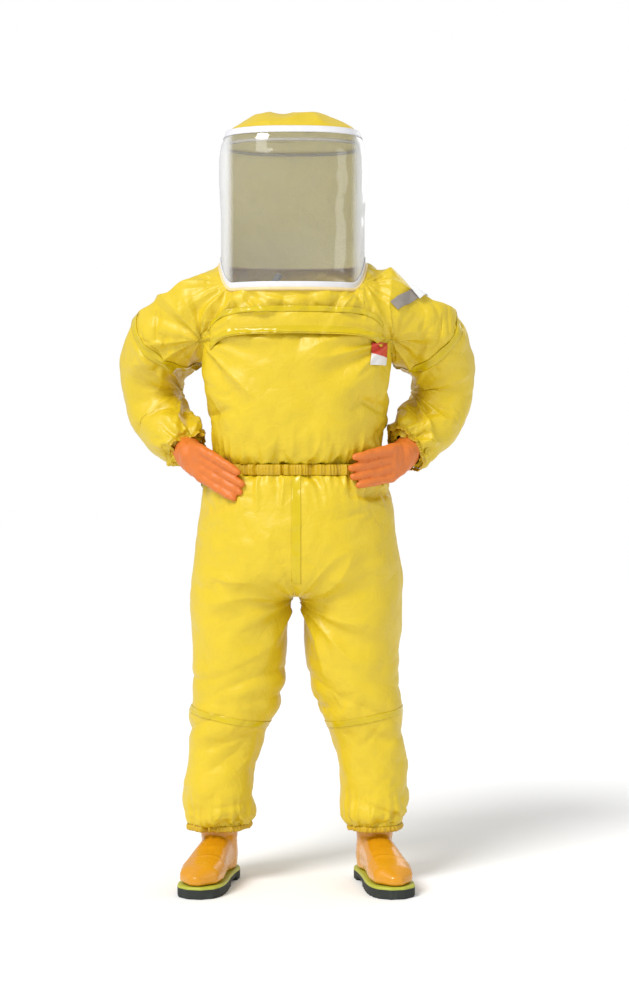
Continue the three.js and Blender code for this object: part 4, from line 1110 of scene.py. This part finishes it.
class SUIT_OT_hood(bpy.types.Operator):
    """Builds the visor, its white binding, the rear wall, the lining, the crown and the hoop."""

    bl_idname = "suit.hood"
    bl_label = "Hood"

    def execute(self, context):
        hood, size, shade = GARMENT["hood"], settings("sizes"), settings("colours")
        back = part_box("visor")[1].y
        right = hood.side_angle(back)
        left = -math.pi - right
        width, side = size.binding, size.binding_side

        def wall(name, first, last, low, high, out, thickness, count, rows, ripple=0.0):
            def at(u, v):
                angle = mixed(first, last, u)
                start = low(angle) if callable(low) else low
                end = high(angle) if callable(high) else high
                height = mixed(start, end, v)
                point = hood.at(angle, height, out)
                if ripple:
                    fade = math.sin(math.pi * min(max(v, 0), 1)) * math.sin(math.pi * min(max(u, 0), 1))
                    wave = noise.noise(Vector((angle * 1.6, height * 9.0, 0.4)))
                    point += (point - hood.at(angle, height, out - 1)).normalized() * wave * ripple * fade
                return point
            return sheet_between(name, count, rows, at, thickness)

        visor = wall("visor_sheet", left, right, lambda a: hood.foot(a) - 0.002, hood.top, -0.0005,
                     size.visor, 220, 90, size.ripple)
        finish(visor, "torso", clear_sheet(), ("visor",))
        white = binding_edge()
        strips = [
            wall("binding_foot", left, right, lambda a: hood.foot(a) - 0.001, lambda a: hood.foot(a) + width,
                 0.0018, 0.0016, 220, 5),
            wall("binding_top", left, right, hood.top - width, hood.top, 0.0018, 0.0016, 220, 5),
        ]
        span = side / 0.15
        for edge, sign in ((right, 1), (left, -1)):
            strips.append(wall("binding_side", edge - sign * span * 0.5, edge + sign * span * 0.5,
                               lambda a: hood.foot(a) + width, hood.top - width, 0.0017, 0.0016, 6, 60))
        for i, strip in enumerate(strips):
            strip.name = "visor_binding_%d" % (i + 1)
            finish(strip, "torso", white, ("visor_binding",) if i == 0 else ())

        def crumpled(point, depth):
            """How a point of the rear wall moves outwards in its creases."""
            wave = noise.noise(point * 11.0 + Vector((7, 2, 5)))
            wave = 1 - 2 * abs(wave)
            return (point - Vector((0, 0, point.z)) - Vector((0, 0.005, 0))).normalized() * wave * depth

        def rear(u, v):
            angle = mixed(right, math.pi * 2 + left, u)
            point = hood.at(angle, mixed(hood.foot(angle) - 0.002, hood.top + 0.001, v), 0.0005)
            fade = math.sin(math.pi * v) ** 0.5
            return point + crumpled(point, 0.004) * fade

        shell = sheet_between("hood_back", 150, 90, rear, 0.0008)
        finish(shell, "torso", GARMENT["cloth"], ("hood_rear_wall",))
        lining = sheet_between("hood_lining", 150, 90, lambda u, v: rear(u, v) - (
            rear(u, v) - Vector((0, 0, rear(u, v).z))).normalized() * 0.003)
        finish(lining, "torso", coated_cloth("hood_lining", shade.lining, 0.5))

        crown_sizes = spans(("hood_crown",), np.linspace(hood.top + 0.002, hood.crown - 0.0015, 12))
        shares = np.linspace(0, 1, 12)

        def crown(u, v, lift=0.0):
            angle = u * 2 * math.pi
            share = v ** 0.8
            half_x, half_y, x, y = (np.interp(share, shares, crown_sizes[:, i]) for i in range(4))
            shrink = 1 if v < 0.86 else max(1 - ((v - 0.86) / 0.14), 0)
            c, s = math.cos(angle), math.sin(angle)
            power = 2 / hood.squareness
            point = Vector((x + half_x * shrink * math.copysign(abs(c) ** power, c),
                            y + half_y * shrink * math.copysign(abs(s) ** power, s),
                            mixed(hood.top - 0.001, hood.crown - 0.001, share)))
            wave = 1 - 2.6 * abs(noise.noise(Vector((point.x * 12, point.y * 9, 3.3))))
            edge = math.sin(math.pi * min(v / 0.5, 1) / 2)
            point.z += (wave * 0.011 - 0.009) * edge + lift
            return point

        top = sheet_between("hood_top", 200, 44, crown, 0.0008)
        finish(top, "torso", GARMENT["cloth"], ("hood_crown",))
        under = sheet_between("crown_lining", 120, 30, lambda u, v: crown(u, v, -0.003))
        finish(under, "torso", bpy.data.materials["hood_lining"])

        hoop_low, hoop_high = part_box("hood_hoop")
        ring = sheet_between("crown_hoop", 200, 3, lambda u, v: hood.at(
            u * 2 * math.pi, mixed(hoop_low.z, hoop_high.z, v), -0.008), 0.004)
        finish(ring, "torso", plain_plastic("hoop_tape", shade.hoop, 0.45), ("hood_hoop",))

        def bead(u, v):
            angle = u * 2 * math.pi
            turn = v * 2 * math.pi
            radius = 0.0042
            point = hood.at(angle, hood.foot(angle) - 0.002 + radius * math.sin(turn),
                            0.002 + radius * math.cos(turn))
            return point

        rim = sheet_between("neck_rim", 260, 8, bead)
        finish(rim, "torso", plain_plastic("neck_rim", shade.rim, 0.35))
        return {"FINISHED"}


# ---------------------------------------------------------------- tapes, closure and trims


def front_of(surface, x, z, out):
    """The cloth's front at a width and height, and as far out as asked."""
    hit = surface.ray_cast(Vector((x, -1, z)), Vector((0, 1, 0)))
    if hit[0] is None:
        raise RuntimeError("the chest has no cloth at %.3f, %.3f" % (x, z))
    return Vector((x, hit[0].y - out, z))


def tree_of(piece):
    mesh = as_bmesh(piece)
    tree = BVHTree.FromBMesh(mesh)
    mesh.free()
    return tree


class SUIT_OT_closure(bpy.types.Operator):
    """Builds the storm flap, its seam tapes, the zip and the label."""

    bl_idname = "suit.closure"
    bl_label = "Chest closure"

    def execute(self, context):
        shade = settings("colours")
        chest = tree_of(GARMENT["jacket"])
        low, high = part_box("storm_flap")
        reach = high.x
        sag = 0.006
        end_drop = 0.030
        tape = seam_tape_finish()

        def bow(x):
            """How far the closure's ends drop towards the armpits."""
            share = min(abs(x) / reach, 1)
            return -sag * share ** 2 - end_drop * share ** 9

        def strip(top, bottom, out, name, thickness, rows, bulge=0.0, count=120):
            def at(u, v):
                x = mixed(-reach, reach, u)
                z = mixed(bottom, top, v) + bow(x)
                side = 1 - abs(2 * u - 1) ** 10
                lift = out * side + bulge * math.sin(math.pi * min(max(v, 0), 1)) * side
                lift += noise.noise(Vector((x * 22, z * 6, 1.7))) * 0.0012 * side
                return front_of(chest, x * 0.985, z, lift + 0.0012)
            made = sheet_between(name, count, rows, at, thickness)
            mesh = as_bmesh(made)
            smoothed(mesh, 2)
            put_back(mesh, made)
            return made

        top = high.z
        flap = strip(top, low.z, 0.0122, "storm_flap_cloth", 0.0014, 14, 0.0030)
        finish(flap, "storm_flap", GARMENT["cloth"], ("storm_flap",))
        edge = strip(low.z + 0.021, low.z + 0.003, 0.0150, "storm_flap_tape", 0.0009, 5)
        finish(edge, "storm_flap", tape)
        upper = strip(top + 0.013, top - 0.001, 0.0132, "flap_top_tape", 0.0010, 5)
        finish(upper, "torso", tape, ("flap_seam_tape",))

        brass = metal("zip_brass", shade.brass, 0.32)
        chain = copy_of("zip_chain")
        eased(chain, 0.0006)
        chain_piece = as_object(chain, "zip_teeth")
        finish(chain_piece, "torso", zip_teeth(shade.brass), ("zip_chain",))
        for name, body, slot in (("zip_slider", "zip_slider", "zip_metal"),
                                 ("zip_pull_tab", "zip_slider", "zip_metal"),
                                 ("zip_tape_upper", "torso", "zip_tape"),
                                 ("zip_tape_lower", "torso", "zip_tape")):
            mesh = copy_of(name)
            eased(mesh, 0.0004)
            piece = as_object(mesh, name + "_finish")
            finish(piece, body, brass if slot == "zip_metal" else GARMENT["cloth"], (name,))

        left, right = 0.163, 0.200
        bottom, top = (corner.z - 0.012 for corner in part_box("chest_label"))
        tag = sheet_between("label_patch", 16, 24, lambda u, v: front_of(
            chest, mixed(left, right, u) + 0.003 * math.sin(v * 2), mixed(bottom, top, v),
            0.0030 + 0.002 * math.sin(u * 3.0)), 0.0006)
        finish(tag, "torso", label_finish(bottom, top), ("chest_label",))
        return {"FINISHED"}


class SUIT_OT_tapes(bpy.types.Operator):
    """Lays the seam tapes over the sleeves, the knees and the middle of the trousers."""

    bl_idname = "suit.tapes"
    bl_label = "Seam tapes"

    def execute(self, context):
        size = settings("sizes")
        tape = seam_tape_finish()
        half = size.tape_width / 2

        def two(point, normal, reach):
            normal = Vector(normal).normalized()
            return [(Vector(point) + normal * reach, normal), (Vector(point) - normal * reach, normal)]

        def between(point, normal, reach):
            normal = Vector(normal).normalized()
            return lambda c: abs((c - Vector(point)).dot(normal)) < reach

        for side, sign in SIDES:
            centre, axis = ring_plane("sleeve_seam_tape_" + side)
            piece = collar_over("sleeve_tape_" + side, [GARMENT["jacket"], GARMENT["sleeve_" + side]],
                                centre, axis, 0.0, half, 0.13)
            finish(piece, shoulder_bend(side, sign), tape, ("sleeve_seam_tape_" + side,))
            knee = middle("knee_seam_tape_" + side)
            knee = Vector((knee.x, 0, knee.z))
            slope = Vector((sign * -math.sin(math.radians(size.knee_slope)), 0,
                            math.cos(math.radians(size.knee_slope))))
            inside = between(knee, slope, half * 0.72)
            piece = band(GARMENT["trousers"], "knee_tape_" + side,
                         lambda c: sign * c.x > 0 and abs(c.z - knee.z) < 0.09 and inside(c),
                         two(knee, slope, half * 0.72), size.tape_lift, size.tape)
            finish(piece, knee_bend(side), tape, ("knee_seam_tape_" + side,))
        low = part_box("centre_seam_tape_front")[0].z
        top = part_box("trouser_left")[1].z - 0.012
        for end, sign in (("front", -1), ("back", 1)):
            planes = two((0, 0, 0), (1, 0, 0), half) + [((0, 0, low), (0, 0, 1)), ((0, 0, top), (0, 0, 1))]
            piece = band(GARMENT["trousers"], "centre_tape_" + end,
                         lambda c: abs(c.x) < half and low < c.z < top and c.y * sign > 0.02,
                         planes, size.tape_lift, size.tape)
            finish(piece, "torso", tape, ("centre_seam_tape_" + end,))
        return {"FINISHED"}


def collar_over(name, pieces, centre, axis, offset, half, reach, lift=0.0012, thickness=0.0012,
                count=160, rows=7, pleats=0, depth=0.0, roll=0.0):
    """A ring laid round cloth: its points are the farthest cloth hit by rays from the ring's axis."""
    trees = [tree_of(piece) for piece in pieces]
    axis = Vector(axis).normalized()
    first = axis.orthogonal().normalized()
    second = axis.cross(first)
    radii = np.zeros((rows + 1, count))
    for i in range(rows + 1):
        start = centre + axis * (offset + mixed(-half, half, i / rows))
        for j in range(count):
            turn = 2 * math.pi * j / count
            ray = first * math.cos(turn) + second * math.sin(turn)
            found = [hit[3] for hit in (tree.ray_cast(start, ray, reach) for tree in trees) if hit[0]]
            radii[i, j] = max(found) if found else np.nan
    average = np.nanmean(radii, axis=0)
    average = np.where(np.isnan(average), np.nanmean(average), average)
    radii = np.where(np.isnan(radii), average, radii)
    if pleats:
        radii = np.tile(radii.max(axis=0), (rows + 1, 1))
    for _ in range(2):
        radii = (radii + np.roll(radii, 1, 1) + np.roll(radii, -1, 1)) / 3

    def at(u, v):
        j = int(round(u * count)) % count
        i = min(int(round(v * rows)), rows)
        turn = 2 * math.pi * j / count
        ray = first * math.cos(turn) + second * math.sin(turn)
        out = radii[i, j] + lift + thickness
        if pleats:
            wave = math.sin(turn * pleats + 1.3 * math.sin(turn * 5) + 0.8 * math.sin(turn * 11))
            out += depth * wave * (0.6 + 0.4 * math.sin(math.pi * v))
        out += roll * math.sin(math.pi * v)
        return centre + axis * (offset + mixed(-half, half, v)) + ray * out

    return sheet_between(name, count, rows, at, thickness)


class SUIT_OT_elastics(bpy.types.Operator):
    """Builds the gathered elastics at the waist, the cuffs and the hems."""

    bl_idname = "suit.elastics"
    bl_label = "Elastics"

    def execute(self, context):
        shade = settings("colours")
        gathered = coated_cloth("gathered_elastic", shade.seam, 0.42, 1.3)
        waist = middle("waist_elastic")
        low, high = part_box("waist_elastic")
        piece = collar_over("waist_gathers", [GARMENT["jacket"], GARMENT["trousers"]], waist, (0, 0, 1),
                            offset=0.0, half=(high.z - low.z) / 2 + 0.003, reach=0.3, lift=0.0020,
                            thickness=0.0012, count=720, rows=9, pleats=118, depth=0.0016, roll=0.0025)
        finish(piece, "torso", gathered, ("waist_elastic",))
        for side, _ in SIDES:
            centre, axis = ring_plane("wrist_elastic_" + side)
            piece = collar_over("cuff_gathers_" + side, [GARMENT["sleeve_" + side]], centre, axis,
                                offset=0.0, half=0.007, reach=0.08, lift=0.0006, thickness=0.0012,
                                count=300, rows=6, pleats=34, depth=0.0012, roll=0.002)
            finish(piece, "forearm_" + side, gathered, ("wrist_elastic_" + side,))
            ankle = middle("ankle_elastic_" + side)
            piece = collar_over("hem_gathers_" + side, [GARMENT["trousers"]], ankle, (0, 0, 1),
                                offset=0.002, half=0.0065, reach=0.09, lift=0.0006, thickness=0.0012,
                                count=360, rows=6, pleats=42, depth=0.0014, roll=0.002)
            finish(piece, "shin_" + side, gathered, ("ankle_elastic_" + side,))
        return {"FINISHED"}


class SUIT_OT_shoulder_strip(bpy.types.Operator):
    """Lays the grey strip and its folded clear tag on the wearer's left shoulder."""

    bl_idname = "suit.shoulder_strip"
    bl_label = "Shoulder strip"

    def execute(self, context):
        trees = [tree_of(GARMENT["jacket"]), tree_of(GARMENT["sleeve_left"])]
        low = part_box("shoulder_strip")[0]
        span = 0.056
        bottom = Vector((low.x + 0.004, 0, low.z + 0.010))
        top = bottom + Vector((span, 0, span))
        along = (top - bottom).normalized()
        across = Vector((-along.z, 0, along.x))

        def laid(u, v, width, first, last, out):
            flat = bottom + along * mixed(first, last, v) + across * (u - 0.5) * width
            slope = Vector((0, 1, -0.35))
            for step in range(16):
                start = Vector((flat.x, -1, flat.z + 0.32 - 0.003 * step))
                found = [hit for hit in (tree.ray_cast(start, slope) for tree in trees) if hit[0]]
                if found:
                    return min(found, key=lambda hit: hit[3])[0] - slope.normalized() * out
            raise RuntimeError("the shoulder strip misses the sleeve")

        reach = (top - bottom).length
        strip = sheet_between("shoulder_strip_band", 12, 48, lambda u, v: laid(
            u, v, 0.025, -0.004, reach - 0.006, 0.0035), 0.0010)
        finish(strip, shoulder_bend("left", 1), strip_finish(), ("shoulder_strip",))
        tag = sheet_between("shoulder_tag", 14, 18, lambda u, v: laid(
            u, v, 0.033, reach - 0.016, reach + 0.012,
            0.0065 + 0.006 * math.sin(v * math.pi) + 0.003 * u), 0.0012)
        clear = plain_plastic("clear_tag", (0.80, 0.81, 0.80), 0.22)
        finish(tag, shoulder_bend("left", 1), clear, ("strip_tag",))
        return {"FINISHED"}


# ---------------------------------------------------------------- gloves and boots


def ball(mesh, centre, radius):
    """The corners of a small ball."""
    made = bmesh.ops.create_icosphere(mesh, subdivisions=2, radius=radius, matrix=Matrix.Translation(centre))
    return made["verts"]


def limb(mesh, *balls):
    """A closed round-ended limb: the hull of balls given as centre and radius."""
    own = bmesh.new()
    for centre, radius in balls:
        ball(own, centre, radius)
    points = [v.co.copy() for v in own.verts]
    own.free()
    plug(mesh, points)


class SUIT_OT_gloves(bpy.types.Operator):
    """Builds the rubber gloves: cuff, palm, four fingers over the hip and a thumb behind it."""

    bl_idname = "suit.gloves"
    bl_label = "Gloves"

    def execute(self, context):
        rubber = glove_rubber()
        for side, sign in SIDES:
            wrist, axis = ring_plane("wrist_elastic_" + side)
            if axis.z > 0:
                axis = -axis
            droop = math.tan(math.radians({"left": 13, "right": 32}[side]))

            def at(x, y, z):
                """A point from the wrist: towards the middle, forward and up, in millimetres."""
                return wrist + Vector((-sign * x, -y, z)) / 1000

            mesh = bmesh.new()
            limb(mesh, (wrist - axis * 0.040, 0.030), (wrist + axis * 0.002, 0.033))
            limb(mesh, (wrist + axis * 0.000, 0.034), (at(12, 38, -8), 0.029), (at(16, 40, -32), 0.022))
            palm = [(at(8, 30, 2), 0.020), (at(10, 34, -30), 0.020)]
            fingers = []
            for i, reach in enumerate((86, 94, 90, 76)):
                z = 4 - 21.0 * i
                start = (at(34 + 3 * min(i, 1), 78 - 2 * i, z), 0.0125)
                palm.append(start)
                middle_z = z - reach * 0.48 * droop
                end_z = z - reach * 0.95 * droop
                bend = (at(36 + reach * 0.50, 112 - 3 * i, middle_z), 0.0108 - 0.0006 * (i == 3))
                second = (at(36 + reach * 0.80, 130 - 3 * i, (middle_z * 0.36 + end_z * 0.64)), 0.0097)
                tip = (at(34 + reach, 137 - 3 * i, end_z), 0.0082)
                fingers.append((start, bend, second, tip))
            limb(mesh, *palm)
            for start, bend, second, tip in fingers:
                limb(mesh, start, bend)
                limb(mesh, bend, second)
                limb(mesh, second, tip)
            limb(mesh, (at(14, 30, -18), 0.018), (at(34, 4, -32), 0.013))
            limb(mesh, (at(34, 4, -32), 0.013), (at(52, -24, -40), 0.0105))
            piece = remeshed(mesh, "glove_skin_" + side, 0.0022)
            mesh = as_bmesh(piece)
            smoothed(mesh, 5)
            mesh.normal_update()
            for vertex in mesh.verts:
                offset = vertex.co - wrist
                along = offset.dot(axis)
                cuff = max(0.0, 1 - abs(along - 0.016) / 0.040)
                hand = max(0.0, min(1.0, (along - 0.01) / 0.05))
                wave = noise.noise(Vector((along * 95, offset.x * 16, offset.z * 16)) + wrist * 30)
                crease = (1 - 2.6 * abs(wave)) * 0.0026 * cuff
                knuckle = noise.noise(vertex.co * 60.0) * 0.0008 * hand
                fine = (1 - 3 * abs(noise.noise(vertex.co * 38.0 + Vector((4, 1, 2))))) * 0.0011 * hand
                vertex.co += vertex.normal * (crease + knuckle + fine)
            sliced(mesh, wrist - axis * 0.034, axis)
            smoothed(mesh, 1)
            put_back(mesh, piece)
            finish(piece, "forearm_" + side, rubber, ("glove_" + side,))
        return {"FINISHED"}


class SUIT_OT_boots(bpy.types.Operator):
    """Builds the rubber boots, their cleated soles and their insoles."""

    bl_idname = "suit.boots"
    bl_label = "Boots"

    def execute(self, context):
        upper_finish, sole_finish = boot_rubber(), sole_rubber()
        felt = coated_cloth("insole_felt", (0.3, 0.3, 0.28), 0.8, 1.5)
        for side, _ in SIDES:
            name = "boot_upper_" + side
            low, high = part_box(name)
            mesh = copy_of(name)
            rim = slice_points((name,), 2, high.z, 0.001)
            plug(mesh, rim + [p - Vector((0, 0, 0.004)) for p in rim])
            piece = remeshed(mesh, "boot_skin_" + side, 0.0030)
            mesh = as_bmesh(piece)
            smoothed(mesh, 14)
            mesh.normal_update()
            for vertex in mesh.verts:
                p = vertex.co
                reach = p.y - low.y
                cap = math.exp(-((reach - 0.072 - 0.35 * max(p.z - low.z - 0.02, 0)) / 0.0035) ** 2)
                welt = math.exp(-((p.z - low.z - 0.014) / 0.0022) ** 2)
                ankle = math.exp(-((p.z - 0.112) / 0.02) ** 2)
                wave = (1 - 2.4 * abs(noise.noise(Vector((p.x * 9, p.y * 14, p.z * 60))))) * 0.0018 * ankle
                vertex.co = p + vertex.normal * (0.0012 * cap - 0.0010 * welt + wave)
            top = [v for v in mesh.verts if v.co.z > high.z - 0.0045]
            bmesh.ops.delete(mesh, geom=top, context="VERTS")
            put_back(mesh, piece)
            finish(piece, "shin_" + side, upper_finish, (name,))
            mesh = copy_of("boot_sole_" + side)
            piece = remeshed(mesh, "sole_" + side, 0.0021)
            mesh = as_bmesh(piece)
            smoothed(mesh, 4)
            put_back(mesh, piece)
            finish(piece, "shin_" + side, sole_finish, ("boot_sole_" + side,))
            mesh = copy_of("boot_insole_" + side)
            eased(mesh, 0.001)
            piece = as_object(mesh, "insole_" + side)
            finish(piece, "shin_" + side, felt, ("boot_insole_" + side,))
        return {"FINISHED"}


# ---------------------------------------------------------------- air inlet, hose and exhaust valves


def turned(name, outline, place, axis, steps=64):
    """A piece turned about an axis: outline points are radius and height in metres."""
    mesh = bmesh.new()
    points = [mesh.verts.new((radius, 0, height)) for radius, height in outline]
    edges = [mesh.edges.new(pair) for pair in zip(points, points[1:] + points[:1])]
    bmesh.ops.spin(mesh, geom=points + edges, cent=(0, 0, 0), axis=(0, 0, 1), dvec=(0, 0, 0),
                   angle=2 * math.pi, steps=steps, use_merge=True, use_duplicate=False)
    bmesh.ops.remove_doubles(mesh, verts=mesh.verts, dist=1e-6)
    bmesh.ops.recalc_face_normals(mesh, faces=mesh.faces)
    turn = Vector((0, 0, 1)).rotation_difference(Vector(axis)).to_matrix().to_4x4()
    bmesh.ops.transform(mesh, matrix=Matrix.Translation(place) @ turn, verts=mesh.verts)
    return as_object(mesh, name)


class SUIT_OT_fittings(bpy.types.Operator):
    """Builds the air inlet, its hose and the exhaust valves."""

    bl_idname = "suit.fittings"
    bl_label = "Air fittings"

    def execute(self, context):
        shade = settings("colours")
        dark = plain_plastic("inlet_plastic", shade.fitting, 0.35)
        pale = plain_plastic("collar_plastic", (0.62, 0.52, 0.14), 0.4)
        grey = plain_plastic("valve_plastic", (0.28, 0.28, 0.28), 0.4)
        low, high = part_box("inlet_stem")
        base = Vector((high.x, (low.y + high.y) / 2, (low.z + high.z) / 2))
        out = (-1, 0, 0)
        ridges = []
        for i in range(5):
            start = 0.0395 + i * 0.0018
            ridges += [(0.0080, start), (0.0074, start + 0.0009)]
        outline = ([(0.0052, 0.0), (0.0088, 0.0), (0.0088, 0.0328), (0.0142, 0.0330), (0.0148, 0.0336),
                    (0.0148, 0.0346), (0.0140, 0.0352), (0.0084, 0.0354), (0.0080, 0.0380)]
                   + ridges + [(0.0078, 0.0488), (0.0052, 0.0490)])
        finish(turned("inlet_coupling", outline, base, out), "torso", dark, ("inlet_stem",))
        start = Vector((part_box("inlet_collar")[1].x, base.y, base.z))
        knurled = turned("inlet_sleeve", [(0.0086, 0.0), (0.0112, 0.0), (0.0120, 0.0009), (0.0114, 0.0020),
                         (0.0114, 0.0058), (0.0120, 0.0070), (0.0112, 0.0079), (0.0086, 0.0079)], start, out)
        finish(knurled, "inlet_collar", pale, ("inlet_collar",))
        start = Vector((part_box("inlet_nut")[1].x, base.y, base.z))
        nut = turned("inlet_lock_nut", [(0.0094, 0.0), (0.0136, 0.0), (0.0139, 0.0005), (0.0139, 0.0034),
                     (0.0136, 0.0039), (0.0094, 0.0039)], start, out)
        finish(nut, "torso", dark, ("inlet_nut",))
        hose = copy_of("air_hose")
        piece = as_object(hose, "breathing_hose")
        rounder = piece.modifiers.new("Rounder", "SUBSURF")
        rounder.levels = rounder.render_levels = 2
        settle(piece)
        rubber = plain_plastic("hose_rubber", (0.18, 0.18, 0.18), 0.5)
        finish(piece, "torso", rubber, ("air_hose",))
        for side, _ in SIDES:
            low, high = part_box("valve_seat_" + side)
            seat = Vector(((low.x + high.x) / 2, low.y, (low.z + high.z) / 2))
            face = high.y - low.y
            port, rim = 0.015, (high.z - low.z) / 2
            outline = [(port, 0), (port + 0.004, 0), (port + 0.004, face - 0.003),
                       (rim - 0.001, face - 0.003), (rim, face - 0.002), (rim, face - 0.0004), (port, face)]
            piece = turned("valve_body_" + side, outline, seat, (0, 1, 0))
            finish(piece, "torso", grey, ("valve_seat_" + side,))
            low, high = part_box("valve_disc_" + side)
            disc = Vector((seat.x, low.y, seat.z))
            wide, thick = (high.z - low.z) / 2, high.y - low.y
            outline = [(0.0002, 0), (wide, 0), (wide, thick * 0.5), (wide * 0.9, thick * 0.7),
                       (0.004, thick), (0.0002, thick)]
            piece = turned("valve_flap_" + side, outline, disc, (0, 1, 0))
            black = plain_plastic("valve_rubber", (0.03, 0.03, 0.03), 0.6)
            finish(piece, "valve_disc_" + side, black, ("valve_disc_" + side,))
            mesh = copy_of("valve_cover_" + side)
            eased(mesh, 0.0006, 0.6)
            cover = as_object(mesh, "valve_cap_" + side)
            finish(cover, "torso",
                   plain_plastic("valve_cover_plastic", shade.seam, 0.38), ("valve_cover_" + side,))
        return {"FINISHED"}


class SUIT_OT_stage(bpy.types.Operator):
    """Adds the floor, the lights, the pale surroundings and the camera."""

    bl_idname = "suit.stage"
    bl_label = "Stage"

    def execute(self, context):
        mesh = bmesh.new()
        bmesh.ops.create_grid(mesh, x_segments=1, y_segments=1, size=20)
        floor = as_object(mesh, "floor")
        ground = Finish("floor")
        paint = ground.surface(base_color=(0.97, 0.97, 0.97, 1), roughness=0.8)
        floor.data.materials.append(ground.done(paint))
        world = bpy.data.worlds.new("surroundings")
        world.use_nodes = True
        back = world.node_tree.nodes["Background"]
        back.inputs["Color"].default_value = (1, 1, 1, 1)
        seen = world.node_tree.nodes.new("ShaderNodeLightPath")
        level = world.node_tree.nodes.new("ShaderNodeMapRange")
        level.inputs["To Min"].default_value = 0.60
        level.inputs["To Max"].default_value = 1.0
        world.node_tree.links.new(seen.outputs["Is Camera Ray"], level.inputs["Value"])
        world.node_tree.links.new(level.outputs["Result"], back.inputs["Strength"])
        context.scene.world = world
        sun = bpy.data.lights.new("sun", "SUN")
        sun.energy, sun.angle = 2.1, math.radians(22)
        lamp = bpy.data.objects.new("sun", sun)
        lamp.rotation_euler = (-Vector((-0.55, -0.75, 0.95))).to_track_quat("-Z", "Y").to_euler()
        context.scene.collection.objects.link(lamp)
        lamps = (("key", (-2.2, -3.4, 3.6), 1.6, 22), ("side", (3.4, -1.6, 2.2), 1.4, 10),
                 ("back", (1.6, 3.0, 2.6), 1.6, 12))
        aim = Vector((0, 0, 1.0))
        for name, place, size, power in lamps:
            light = bpy.data.lights.new(name, "AREA")
            light.size, light.energy = size, power
            lamp = bpy.data.objects.new(name, light)
            lamp.location = place
            lamp.rotation_euler = (aim - Vector(place)).to_track_quat("-Z", "Y").to_euler()
            context.scene.collection.objects.link(lamp)
        camera = bpy.data.cameras.new("camera")
        camera.lens, camera.sensor_width = 79.6, 36.0
        camera.shift_y = -0.0615
        eye = bpy.data.objects.new("camera", camera)
        eye.location = (0.040, -5.0, 1.0)
        eye.rotation_euler = (math.radians(90), 0, 0)
        context.scene.collection.objects.link(eye)
        context.scene.camera = eye
        context.scene.view_settings.view_transform = "Standard"
        return {"FINISHED"}


OPERATORS = (SUIT_OT_garment, SUIT_OT_hood, SUIT_OT_closure, SUIT_OT_tapes, SUIT_OT_elastics,
             SUIT_OT_shoulder_strip, SUIT_OT_gloves, SUIT_OT_boots, SUIT_OT_fittings, SUIT_OT_stage)
GROUPS = {"suit_cloth": ClothSettings, "suit_sizes": SizeSettings, "suit_colours": ColourSettings}


class SUIT_PT_panel(bpy.types.Panel):
    """The suit's operators and settings in the 3D view's sidebar."""

    bl_idname = "SUIT_PT_panel"
    bl_label = "Protective suit"
    bl_space_type = "VIEW_3D"
    bl_region_type = "UI"
    bl_category = "Suit"

    def draw(self, context):
        for operator in OPERATORS:
            self.layout.operator(operator.bl_idname)
        for name, group in GROUPS.items():
            box = self.layout.box()
            for field in group.__annotations__:
                box.prop(getattr(context.scene, name), field)


def register():
    for cls in (*GROUPS.values(), *OPERATORS, SUIT_PT_panel):
        bpy.utils.register_class(cls)
    for name, group in GROUPS.items():
        setattr(bpy.types.Scene, name, PointerProperty(type=group))


def unregister():
    for name in GROUPS:
        delattr(bpy.types.Scene, name)
    for cls in (SUIT_PT_panel, *reversed(OPERATORS), *GROUPS.values()):
        bpy.utils.unregister_class(cls)


def main():
    """Registers the add-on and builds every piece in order."""
    register()
    bpy.ops.suit.garment()
    bpy.ops.suit.hood()
    bpy.ops.suit.closure()
    bpy.ops.suit.tapes()
    bpy.ops.suit.elastics()
    bpy.ops.suit.shoulder_strip()
    bpy.ops.suit.gloves()
    bpy.ops.suit.boots()
    bpy.ops.suit.fittings()
    for name in ("jacket", "trousers", "sleeve_left", "sleeve_right"):
        bpy.data.objects.remove(GARMENT[name])
    bpy.ops.suit.stage()


if __name__ == "__main__":
    main()
